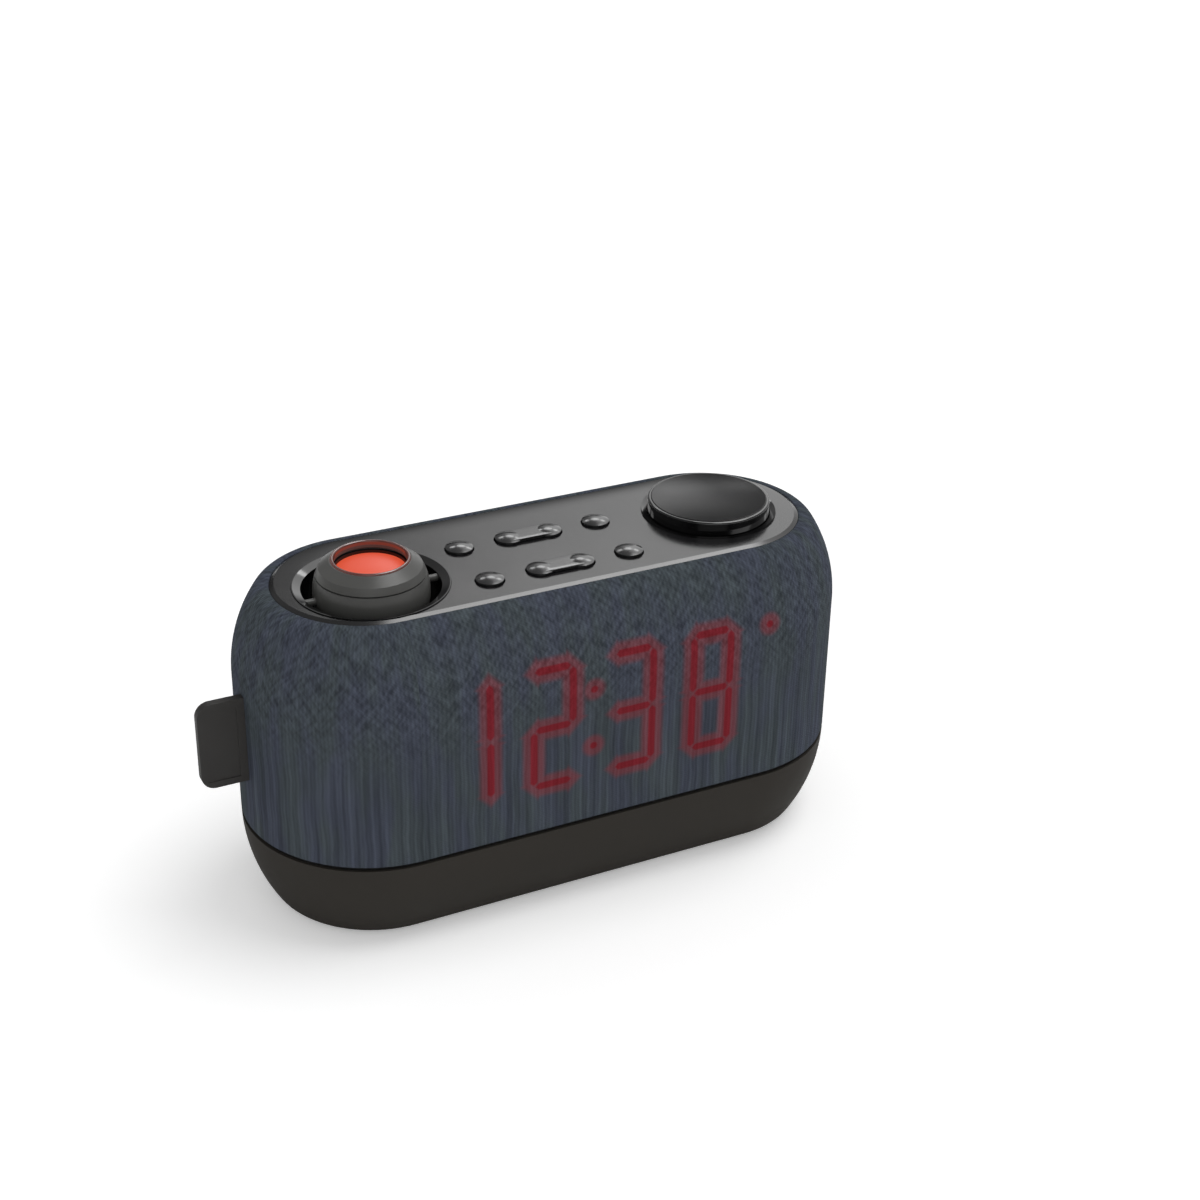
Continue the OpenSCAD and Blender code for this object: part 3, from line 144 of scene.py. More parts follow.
def lightRoom(look):  # soft light for matt surfaces, a shaded room for gloss, white for the camera
    world = bpy.data.worlds.new("studio")
    bpy.context.scene.world = world
    world.use_nodes = True
    tree = world.node_tree
    tree.nodes.clear()
    rays = addNode(tree, "ShaderNodeLightPath")
    shiny = addNode(tree, "ShaderNodeMath", {"operation": "MAXIMUM"},
                    {0: rays.outputs["Is Glossy Ray"], 1: rays.outputs["Is Transmission Ray"]})
    place = addNode(tree, "ShaderNodeTexCoord")
    axes = addNode(tree, "ShaderNodeSeparateXYZ", links={0: place.outputs["Generated"]})
    behind = addNode(tree, "ShaderNodeMapRange", {
        "interpolation_type": "SMOOTHSTEP",
        "From Min": look["frontToBack"][0], "From Max": look["frontToBack"][1],
        "To Min": look["frontLevel"], "To Max": look["backLevel"]}, {"Value": axes.outputs["Y"]})
    bands = []
    for levels in (look["low"], look["across"]):
        band = addNode(tree, "ShaderNodeValToRGB", links={"Fac": axes.outputs["X"]})
        stops = band.color_ramp.elements
        while len(stops) < len(levels):
            stops.new(0.5)
        for stop, (x, level) in zip(stops, levels):
            stop.position, stop.color = x, (level, level, level, 1)
        bands.append(band)
    climb = addNode(tree, "ShaderNodeMapRange", {
        "interpolation_type": "SMOOTHSTEP",
        "From Min": look["horizon"][0], "From Max": look["horizon"][1]},
        {"Value": axes.outputs["Z"]})
    wall = addNode(tree, "ShaderNodeMix", {"data_type": "RGBA"},
                   {0: climb.outputs[0], 6: bands[0].outputs[0], 7: bands[1].outputs[0]})
    room = addNode(tree, "ShaderNodeMath", {"operation": "MULTIPLY"},
                   {0: behind.outputs[0], 1: wall.outputs[2]})
    soft = addNode(tree, "ShaderNodeMix", {"data_type": "FLOAT", 2: look["ambient"]},
                   {0: shiny.outputs[0], 3: room.outputs[0]})
    seen = addNode(tree, "ShaderNodeMix", {"data_type": "FLOAT", 3: 1.0},
                   {0: rays.outputs["Is Camera Ray"], 2: soft.outputs[0]})
    light = addNode(tree, "ShaderNodeBackground", {"Color": (1, 1, 1, 1)},
                    {"Strength": seen.outputs[0]})
    out = addNode(tree, "ShaderNodeOutputWorld")
    tree.links.new(light.outputs[0], out.inputs["Surface"])


def hangLamps(look):
    for name, azimuth, elevation, strength, size, matt in look["lamps"]:
        data = bpy.data.lights.new(name, "SUN")
        data.energy = strength
        data.angle = math.radians(size)
        lamp = bpy.data.objects.new(name, data)
        lamp.visible_diffuse = matt
        a, e = math.radians(azimuth), math.radians(elevation)
        towards = Vector((math.sin(a) * math.cos(e), math.cos(a) * math.cos(e), math.sin(e)))
        lamp.rotation_euler = towards.to_track_quat("Z", "Y").to_euler()
        bpy.context.scene.collection.objects.link(lamp)


def layFloor(look):
    bpy.ops.object.select_all(action="DESELECT")
    bpy.ops.mesh.primitive_plane_add(size=look["floorSize"])
    floor = bpy.context.object
    floor.name = "studioFloor"
    material, tree = startMaterial("paintedPaperFloor")  # white card: takes a shadow, has no shine
    rays = addNode(tree, "ShaderNodeLightPath")
    lift = addNode(tree, "ShaderNodeMath", {"operation": "MULTIPLY", 1: look["floorLift"]},
                   {0: rays.outputs["Is Camera Ray"]})
    paint = addNode(tree, "ShaderNodeBsdfPrincipled", {
        "Base Color": (1, 1, 1, 1), "Roughness": 1.0, "Specular IOR Level": 0.0,
        "Emission Color": (1, 1, 1, 1)}, {"Emission Strength": lift.outputs[0]})
    endMaterial(tree, paint)
    floor.data.materials.append(material)


lightRoom(studio)
hangLamps(studio)
layFloor(studio)
print("camera, light and floor placed")

# finishes of the hard pieces

plain = {  # what a finish has unless it says otherwise; lengths in millimetres
    "grain": 0.4, "grainStrength": 0.25, "grainDepth": 0.03,  # the fine relief of the surface
    "cloud": 18, "mottle": 0.06, "patchy": 0.15,              # slow change of tone and of gloss
    "metallic": 0.0, "transmission": 0.0, "coat": 0.0, "coatRoughness": 0.1,
    "glow": 0.0, "glowColour": "#000000",
}


def addDish(tree, place, look):  # leans the surface as a shallow bowl round its middle would
    centreX, centreY = look["middle"]
    middle = addNode(tree, "ShaderNodeVectorMath", {
        "operation": "MULTIPLY_ADD", 1: (1, 1, 0), 2: (-centreX * mm, -centreY * mm, 0)},
        {0: place.outputs["Object"]})
    square = addNode(tree, "ShaderNodeVectorMath", {"operation": "DOT_PRODUCT"},
                     {0: middle.outputs[0], 1: middle.outputs[0]})
    return addNode(tree, "ShaderNodeBump", {"Strength": 1.0, "Distance": look["curve"] / 2},
                   {"Height": square.outputs["Value"]})


def addRoll(tree, place, look):  # turns the rear edge of a stadium-shaped plate down
    axes = addNode(tree, "ShaderNodeSeparateXYZ", links={0: place.outputs["Object"]})
    reach = addNode(tree, "ShaderNodeMath", {"operation": "ABSOLUTE"}, {0: axes.outputs["X"]})
    past = addNode(tree, "ShaderNodeMath", {
        "operation": "SUBTRACT", 1: look["halfStraight"] * mm}, {0: reach.outputs[0]})
    ahead = addNode(tree, "ShaderNodeMath", {"operation": "MAXIMUM", 1: 0.0},
                    {0: past.outputs[0]})
    flat = addNode(tree, "ShaderNodeCombineXYZ",
                   links={"X": ahead.outputs[0], "Y": axes.outputs["Y"]})
    away = addNode(tree, "ShaderNodeVectorMath", {"operation": "LENGTH"}, {0: flat.outputs[0]})
    over = addNode(tree, "ShaderNodeMath", {"operation": "SUBTRACT", 1: look["start"] * mm},
                   {0: away.outputs["Value"]})
    outer = addNode(tree, "ShaderNodeMath", {"operation": "MAXIMUM", 1: 0.0},
                    {0: over.outputs[0]})
    squared = addNode(tree, "ShaderNodeMath", {"operation": "POWER", 1: 2.0},
                      {0: outer.outputs[0]})
    rear = addNode(tree, "ShaderNodeMapRange", {
        "interpolation_type": "SMOOTHSTEP",
        "From Min": look["rear"][0] * mm, "From Max": look["rear"][1] * mm},
        {"Value": axes.outputs["Y"]})
    drop = addNode(tree, "ShaderNodeMath", {"operation": "MULTIPLY"},
                   {0: squared.outputs[0], 1: rear.outputs[0]})
    return addNode(tree, "ShaderNodeBump", {
        "Strength": 1.0, "Distance": look["curve"], "invert": True}, {"Height": drop.outputs[0]})


def makeFinish(name, changes):  # one moulded, painted or metal finish
    look = {**plain, **changes}
    material, tree = startMaterial(name)
    place = addNode(tree, "ShaderNodeTexCoord")
    grain = addNode(tree, "ShaderNodeTexNoise", {
        "Scale": 1 / (look["grain"] * mm), "Detail": 3.0, "Roughness": 0.55},
        {"Vector": place.outputs["Object"]})
    cloud = addNode(tree, "ShaderNodeTexNoise", {
        "Scale": 1 / (look["cloud"] * mm), "Detail": 2.0}, {"Vector": place.outputs["Object"]})
    shade = addNode(tree, "ShaderNodeMapRange", {
        "From Min": 0.3, "From Max": 0.7,
        "To Min": 1 - look["mottle"], "To Max": 1 + look["mottle"]}, {"Value": cloud.outputs[0]})
    colour = addNode(tree, "ShaderNodeVectorMath", {
        "operation": "SCALE", 0: linear(look["colour"])[:3]}, {"Scale": shade.outputs[0]})
    rough = addNode(tree, "ShaderNodeMapRange", {
        "From Min": 0.25, "From Max": 0.75,
        "To Min": look["roughness"] * (1 - look["patchy"]),
        "To Max": look["roughness"] * (1 + look["patchy"])}, {"Value": cloud.outputs[0]})
    bump = addNode(tree, "ShaderNodeBump", {
        "Strength": look["grainStrength"], "Distance": look["grainDepth"] * mm},
        {"Height": grain.outputs[0]})
    for key, addForm in (("dish", addDish), ("roll", addRoll)):
        if key in look:
            form = addForm(tree, place, look[key])
            tree.links.new(form.outputs[0], bump.inputs["Normal"])
    shader = addNode(tree, "ShaderNodeBsdfPrincipled", {
        "Metallic": look["metallic"], "Transmission Weight": look["transmission"],
        "Coat Weight": look["coat"], "Coat Roughness": look["coatRoughness"],
        "Emission Strength": look["glow"], "Emission Color": linear(look["glowColour"])},
        {"Base Color": colour.outputs[0], "Roughness": rough.outputs[0],
         "Normal": bump.outputs[0]})
    if "ior" in look:
        shader.inputs["IOR"].default_value = look["ior"]
    endMaterial(tree, shader)
    return material


finishes = {  # each with what it gives the eye
    "mouldedBaseAbs": {"colour": "#393632", "roughness": 0.62, "ior": 1.2, "grain": 0.35,
                       "grainStrength": 0.5},  # spark-eroded grain: a flat warm near-black
    "footRubber": {"colour": "#1b1b1b", "roughness": 0.8, "grain": 0.5,
                   "grainStrength": 0.5},      # soft and black, with no highlight at all
    "gasketFoam": {"colour": "#0d0d0d", "roughness": 0.9, "grain": 0.3,
                   "grainStrength": 0.6},      # closed cells: the darkest line, in the seam
    "carcassAbs": {"colour": "#3a3a3c", "roughness": 0.55},  # bare moulding: an even dull grey
    "zincScrew": {"colour": "#b4b4b2", "roughness": 0.32, "metallic": 1.0, "grain": 0.15,
                  "grainStrength": 0.3},       # plated steel: small bright points
    "paintedPanel": {"colour": "#1b1b1c", "roughness": 0.17, "ior": 1.7, "mottle": 0.05,
                     "grain": 0.3, "grainStrength": 0.15, "grainDepth": 0.015,
                     "roll": {"halfStraight": 52.5, "start": 18.0, "curve": 11.0,
                              "rear": (-12.0, 8.0)}},  # satin paint: a dim room, dark at the rear
    "solderMask": {"colour": "#1f5a34", "roughness": 0.35, "grain": 1.2, "grainStrength": 0.2,
                   "coat": 0.4},               # lacquer over glass fibre: green under thin gloss
    "switchNylon": {"colour": "#8d8d88", "roughness": 0.5},  # moulded nylon: pale and waxy
    "keyAbs": {"colour": "#1e1e1f", "roughness": 0.16,
               "ior": 1.95},                   # polished mould: a hard glint on each dome
    "glossRingPaintedGlow": {"colour": "#2a1a1a", "roughness": 0.14, "ior": 2.1, "glow": 0.12,
                "glowColour": "#c86a5a"},      # gloss black tinted red, with a painted red glow for the lens light behind it
    "polishedAbs": {"colour": "#0b0b0c", "roughness": 0.08, "ior": 1.85,
                    "grainStrength": 0.05},    # piano black: sharp reflections on black
    "softTouchCap": {"colour": "#1a1a1b", "roughness": 0.3, "ior": 1.4, "grain": 0.2,
                     "grainStrength": 0.3,     # rubbery lacquer: grey that fades off to the right
                     "dish": {"middle": (42.0, 4.5), "curve": 15.5}},
    "springSteel": {"colour": "#b8b8b6", "roughness": 0.25,
                    "metallic": 1.0},          # drawn wire: a bright line along each turn
    "ballAbs": {"colour": "#565654", "roughness": 0.36, "grain": 0.3,
                "grainStrength": 0.3},         # fine-grained moulding: a broad soft highlight
    "lampEpoxy": {"colour": "#d8281c", "roughness": 0.15, "glow": 2.0,
                  "glowColour": "#ff3a20"},    # tinted epoxy, lit: the brightest red
    "clearAcrylic": {"colour": "#d9dde0", "roughness": 0.05,
                     "transmission": 0.9},     # polished: clear, with bright rims
    "slideFilmPaintedGlow": {"colour": "#8a2a22", "roughness": 0.2, "glow": 0.6,
                  "glowColour": "#ff4a20"},    # printed film, dull red, with a painted glow for the lamp light behind it
    "barrelAbs": {"colour": "#111112", "roughness": 0.5},  # matt black, so that it goes unseen
    "lensPaintedGlow": {"colour": "#7a1712", "roughness": 0.45, "glow": 0.6,
                "glowColour": "#ff6543"},      # ground acrylic with a painted glow for the light through it: an even orange-red disc
    "smokedFilter": {"colour": "#3a0f10", "roughness": 0.1,
                     "transmission": 0.5},     # tinted acrylic: red where lit, else near black
    "lightBoxAbs": {"colour": "#16161a", "roughness": 0.6},   # matt black walls between cells
    "guidePaintedGlow": {"colour": "#e8392f", "roughness": 0.4, "glow": 1.2,
                 "glowColour": "#ff2a1c"},     # tinted guide with a painted glow for the LED light: an even bright red
    "darkGuide": {"colour": "#3b1b1b", "roughness": 0.4},     # the same, unlit: dull wine red
    "ledBody": {"colour": "#e6d9c0", "roughness": 0.4},       # moulded resin: cream
    "chipEpoxy": {"colour": "#222222", "roughness": 0.55},    # moulded epoxy: matt charcoal
    "capacitorSleeve": {"colour": "#25304d", "roughness": 0.25},  # shrunk vinyl: glossy dark blue
    "tinnedCan": {"colour": "#bdbdb8", "roughness": 0.3, "metallic": 1.0},  # a soft silver
    "jackAbs": {"colour": "#141414", "roughness": 0.5},       # bare moulding: dull black
    "brassPlate": {"colour": "#c9a94e", "roughness": 0.25,
                   "metallic": 1.0},           # plated contact: warm yellow
    "pressedFrame": {"colour": "#4b4d50", "roughness": 0.4},  # painted steel: dull mid grey
    "conePaper": {"colour": "#1c1c1e", "roughness": 0.9, "grain": 0.8,
                  "grainStrength": 0.7},       # pressed pulp: fibrous black
    "ferrite": {"colour": "#5f6062", "roughness": 0.7, "grain": 0.6,
                "grainStrength": 0.6},         # sintered: gritty grey with no shine
    "ribbonPlastic": {"colour": "#8c8a80", "roughness": 0.35},  # vinyl: pale, a light sheen
    "cellSteel": {"colour": "#c4c6c8", "roughness": 0.22,
                  "metallic": 1.0},            # nickel plate: a slightly blurred mirror
    "tagRubber": {"colour": "#302e2c", "roughness": 0.62, "grain": 0.4,
                  "grainStrength": 0.5},       # moulded silicone: warm black, matt
}
slotFinish = {
    "base_plastic": "mouldedBaseAbs", "foot_rubber": "footRubber", "gasket": "gasketFoam",
    "carcass_plastic": "carcassAbs", "tag_rubber": "tagRubber",
    "cloth": "tagRubber",  # on the plain solid alone, which the sleeve hides
    "screw_steel": "zincScrew", "panel_plastic": "paintedPanel", "board": "solderMask",
    "switch_plastic": "switchNylon", "key_plastic": "keyAbs", "gloss_black": "polishedAbs",
    "soft_touch": "softTouchCap", "spring_steel": "springSteel", "ball_plastic": "ballAbs",
    "lamp_red": "lampEpoxy", "clear_lens": "clearAcrylic", "slide_film": "slideFilmPaintedGlow",
    "barrel_black": "barrelAbs", "red_lens": "lensPaintedGlow", "filter_red": "smokedFilter",
    "lightbox_black": "lightBoxAbs", "segment_lit": "guidePaintedGlow", "segment_dark": "darkGuide",
    "led_body": "ledBody", "chip_black": "chipEpoxy", "capacitor_sleeve": "capacitorSleeve",
    "tinned_can": "tinnedCan", "jack_plastic": "jackAbs", "jack_brass": "brassPlate",
    "speaker_steel": "pressedFrame", "cone_paper": "conePaper", "ferrite": "ferrite",
    "ribbon": "ribbonPlastic", "cell_steel": "cellSteel",
}
nodeFinish = {"lens_ring": "glossRingPaintedGlow"}  # its painted red glow stands in for the lens light, so not the plain gloss black of its slot


def dressNodes():
    materials = {name: makeFinish(name, changes) for name, changes in finishes.items()}
    for part in frame["record"]["subparts"]:
        node = frame["nodes"][part["node"]]
        node.data.materials.clear()
        chosen = nodeFinish.get(part["node"], slotFinish[part["material_slot"]])
        node.data.materials.append(materials[chosen])
    return materials


made = dressNodes()
print("finishes given to the hard pieces")

# cloth sleeve

sleeve = {  # millimetres, and degrees for the arcs
    "endX": 52.5, "beltR": 37.5, "low": 27.5,
    "shoulderZ": 70.6, "shoulderR": 40.987, "shoulderRows": 40,
    "crownX": 26.0, "crownZ": 89.8, "crownR": 5.8, "crownTilt": 33.07, "crownEnd": 86,
    "crownRows": 14,
    "hem": 0.9, "hemGap": 1.2,                                     # turned edge, first row over it
    "lowerTuck": [(2.2, 0.05), (1.4, 0.0), (0.55, 0.12), (0.12, 0.5)],  # in from the belt, and up
    "top": 26.05,
    "upperTuck": [(0.09, 0.09), (0.0, 0.35), (0.0, 1.2)],          # out from the top, and down
    "fineX": -46, "fineZ": 38, "fineStep": 0.5,                    # close rows for the digits
    "plainX": 1.3, "plainZ": 1.5, "backX": 2.0,                    # wider ones elsewhere
    "fineTurn": 0.8, "fineTurnEnd": -80, "turn": 2.0,              # round the ends
}
# the lit digits, painted on the cloth as glow
digits = {  # millimetres
    "shown": (1, 2, 3, 8), "pitch": 24.3, "middleX": -2.3, "middleZ": 60.2,
    "high": 35.4, "wide": 11.6, "barW": 2.6, "barEnd": 0.1, "dotR": 1.3, "alarmX": 52.5,
    "bars": [(0, 2, 0), (1, 1, 1), (1, -1, 1), (0, -2, 0), (-1, -1, 1), (-1, 1, 1), (0, 0, 0)],
    "lit": {1: (1, 2), 2: (0, 1, 6, 4, 3), 3: (0, 1, 2, 3, 6), 8: (0, 1, 2, 3, 4, 5, 6)},
    "frontOf": -5, "farOff": 50.0,  # they show on the front alone; a distance with no glow
}


def sleeveProfile(look):  # (distance from the spine, height) up the cloth, hems included
    low, belt, hem = look["low"], look["beltR"], look["hem"]
    rows = [(belt - inward, low + rise) for inward, rise in look["lowerTuck"]]
    rows.append((belt, low + hem))
    for z in np.arange(low + hem + look["hemGap"], look["fineZ"], look["plainZ"]):
        rows.append((belt, z))
    for z in np.arange(look["fineZ"], look["shoulderZ"], look["fineStep"]):
        rows.append((belt, z))
    tilt = math.radians(look["crownTilt"])
    for a in np.linspace(0, tilt, look["shoulderRows"]):
        rows.append((belt - look["shoulderR"] + look["shoulderR"] * math.cos(a),
                     look["shoulderZ"] + look["shoulderR"] * math.sin(a)))
    for a in np.linspace(tilt, math.radians(look["crownEnd"]), look["crownRows"])[1:]:
        rows.append((look["crownX"] + look["crownR"] * math.cos(a),
                     look["crownZ"] + look["crownR"] * math.sin(a)))
    topZ = look["crownZ"] + look["crownR"]
    rows += [(look["top"] + outward, topZ - fall) for outward, fall in look["upperTuck"]]
    return rows


def sleevePlan(look):  # stations round the body: x on the spine, then the way out from it
    end, turn = look["endX"], look["turn"]
    steps = []
    for x in np.arange(-end, look["fineX"], look["plainX"]):
        steps.append((x, 0.0, -1.0))
    for x in np.arange(look["fineX"], end, look["fineStep"]):
        steps.append((x, 0.0, -1.0))
    for a in np.concatenate([np.arange(-90, look["fineTurnEnd"], look["fineTurn"]),
                             np.arange(look["fineTurnEnd"], 90, turn)]):
        steps.append((end, math.cos(math.radians(a)), math.sin(math.radians(a))))
    for x in np.arange(end, -end, -look["backX"]):
        steps.append((x, 0.0, 1.0))
    for a in np.arange(90, 270, turn):
        steps.append((-end, math.cos(math.radians(a)), math.sin(math.radians(a))))
    return steps


def digitDistance(x, z, look):  # millimetres from each point to the nearest lit bar or dot, which places the painted glow on the cloth
    best = np.full(x.shape, look["farOff"])
    half = look["barW"] / 2
    middlePlace = (len(look["shown"]) - 1) / 2
    for place, shown in enumerate(look["shown"]):
        for bar in look["lit"][shown]:
            along, up, upright = look["bars"][bar]
            cx = (place - middlePlace) * look["pitch"] + look["middleX"] + along * look["wide"] / 2
            cz = look["middleZ"] + up * look["high"] / 4
            length = (look["high"] / 2 if upright else look["wide"]) / 2 - look["barEnd"] - half
            dx, dz = (z - cz, x - cx) if upright else (x - cx, z - cz)
            ahead = np.maximum(np.abs(dx) - length, 0)
            pointed = np.where(ahead > 0, (ahead + np.abs(dz) - half) / math.sqrt(2),
                               np.abs(dz) - half)
            best = np.minimum(best, pointed)
    dots = [(look["middleX"], look["high"] / 4), (look["middleX"], -look["high"] / 4),
            (look["alarmX"], look["high"] / 2 - look["dotR"])]
    for dx, dz in dots:
        best = np.minimum(best, np.hypot(x - dx, z - look["middleZ"] - dz) - look["dotR"])
    return best


def makeSleeve(look, marks):  # the sheet, its girth and its length up the profile in metres
    rows, plan = sleeveProfile(look), sleevePlan(look)
    r = np.array([row[0] for row in rows])
    z = np.array([row[1] for row in rows])
    up = np.concatenate([[0], np.cumsum(np.hypot(np.diff(r), np.diff(z)))])
    spine = np.array([step[0] for step in plan])
    outX = np.array([step[1] for step in plan])
    outY = np.array([step[2] for step in plan])
    gridX = spine[:, None] + outX[:, None] * r[None, :]
    gridY = outY[:, None] * r[None, :]
    gridZ = np.broadcast_to(z[None, :], gridX.shape)
    beltX, beltY = spine + outX * look["beltR"], outY * look["beltR"]
    stepLength = np.hypot(np.diff(np.append(beltX, beltX[0])), np.diff(np.append(beltY, beltY[0])))
    along = np.concatenate([[0], np.cumsum(stepLength)])
    columns, high = gridX.shape
    points = np.stack([gridX, gridY, gridZ], axis=-1).reshape(-1, 3) * mm
    faces, threads = [], []
    for i in range(columns):
        j = (i + 1) % columns
        for k in range(high - 1):
            faces.append((i * high + k, j * high + k, j * high + k + 1, i * high + k + 1))
            threads += [(along[i], up[k]), (along[i + 1], up[k]),
                        (along[i + 1], up[k + 1]), (along[i], up[k + 1])]
    mesh = bpy.data.meshes.new("clothSleeve")
    mesh.from_pydata(points.tolist(), [], faces)
    layer = mesh.uv_layers.new(name="threads")
    layer.data.foreach_set("uv", (np.array(threads) * mm).ravel())
    # distances that place the digits' painted glow on the cloth
    near = digitDistance(gridX, gridZ, marks)
    near = np.where(gridY < marks["frontOf"], near, marks["farOff"])
    glow = mesh.attributes.new("paintedGlowDistance", "FLOAT", "POINT")
    glow.data.foreach_set("value", near.ravel().astype(np.float32))
    mesh.polygons.foreach_set("use_smooth", [True] * len(mesh.polygons))
    mesh.update()
    piece = bpy.data.objects.new("clothSleeve", mesh)
    bpy.context.scene.collection.objects.link(piece)
    return piece, along[-1] * mm, up[-1] * mm


weave = {  # millimetres, and brightness against the yarn's own
    "rib": 1.15, "pick": 0.75, "ribGrooveShade": (0.88, 1.12),  # coarser than the threads, to show; the pair is painted shade, darker where the relief is low
    "pickShare": 0.4,                                    # how high a pick is beside a rib
    "sway": (14.0, 1.6),                                 # the ribs wander: how often, how far
    "wale": 2.9, "waleTone": 0.12,                       # every few ribs stand out on the front
    "slub": (4.0, 60.0), "slubTone": (0.73, 1.27),       # uneven yarns make upright streaks
    "speck": (1.15, 5.0), "speckTone": (0.62, 1.38),     # a twill of specks on the shoulder
    "lean": 38, "speckFrom": (50, 78),                   # its slope, and where it takes over
    "yarns": ("#474e53", "#474c58"), "drift": (7.0, 30.0),  # grey-blue to bluer, in patches
    "paintedHalo": "#5c4249", "paintedCore": "#571e26", "light": "#c8303a",  # painted glow of the lit digits behind it, laid on the cloth as colour
    "haloEdge": (2.9, 0.8), "coreEdge": (0.15, -0.6),    # fading in between these distances
    # how strongly the painted glow of the digits shines
    "haloLight": 0.07, "coreLight": 0.066,
    "bump": 0.5, "bumpDepth": 0.1, "roughness": 0.95, "specular": 0.08,
}


def leaningSpecks(tree, thread, turn, look):  # short threads that lean to one side
    straight = addNode(tree, "ShaderNodeMapping", {"Rotation": (0, 0, math.radians(turn))},
                       {"Vector": thread.outputs[0]})
    short = addNode(tree, "ShaderNodeMapping", {
        "Scale": (1 / (look["speck"][0] * mm), 1 / (look["speck"][1] * mm), 1.0)},
        {"Vector": straight.outputs[0]})
    return addNode(tree, "ShaderNodeTexNoise", {"Scale": 1.0, "Detail": 2.0},
                   {"Vector": short.outputs[0]})


def threadRelief(tree, across, upward, look):  # ribs with finer picks over them, as a height
    ribs = addNode(tree, "ShaderNodeMath", {
        "operation": "MULTIPLY", 1: 2 * math.pi / (look["rib"] * mm)}, {0: across.outputs[0]})
    ribWave = addNode(tree, "ShaderNodeMath", {"operation": "SINE"}, {0: ribs.outputs[0]})
    picks = addNode(tree, "ShaderNodeMath", {
        "operation": "MULTIPLY_ADD", 1: 2 * math.pi / (look["pick"] * mm)},
        {0: upward, 2: ribs.outputs[0]})
    pickWave = addNode(tree, "ShaderNodeMath", {"operation": "SINE"}, {0: picks.outputs[0]})
    return addNode(tree, "ShaderNodeMath", {"operation": "MULTIPLY_ADD", 1: look["pickShare"]},
                   {0: pickWave.outputs[0], 2: ribWave.outputs[0]})


def uprightStreaks(tree, across, upward, look):  # slubs and proud ribs, as a tone
    slubPlace = addNode(tree, "ShaderNodeCombineXYZ", links={"X": across.outputs[0], "Y": upward})
    slubScale = addNode(tree, "ShaderNodeMapping", {
        "Scale": (1 / (look["slub"][0] * mm), 1 / (look["slub"][1] * mm), 1.0)},
        {"Vector": slubPlace.outputs[0]})
    slub = addNode(tree, "ShaderNodeTexNoise", {"Scale": 1.0, "Detail": 3.0, "Roughness": 0.7},
                   {"Vector": slubScale.outputs[0]})
    slubTone = addNode(tree, "ShaderNodeMapRange", {
        "From Min": 0.3, "From Max": 0.7,
        "To Min": look["slubTone"][0], "To Max": look["slubTone"][1]},
        {"Value": slub.outputs[0]})
    wales = addNode(tree, "ShaderNodeMath", {
        "operation": "MULTIPLY", 1: 2 * math.pi / (look["wale"] * mm)}, {0: across.outputs[0]})
    waleWave = addNode(tree, "ShaderNodeMath", {"operation": "SINE"}, {0: wales.outputs[0]})
    waleTone = addNode(tree, "ShaderNodeMath", {
        "operation": "MULTIPLY_ADD", 1: look["waleTone"], 2: 1.0}, {0: waleWave.outputs[0]})
    return addNode(tree, "ShaderNodeMath", {"operation": "MULTIPLY"},
                   {0: slubTone.outputs[0], 1: waleTone.outputs[0]})


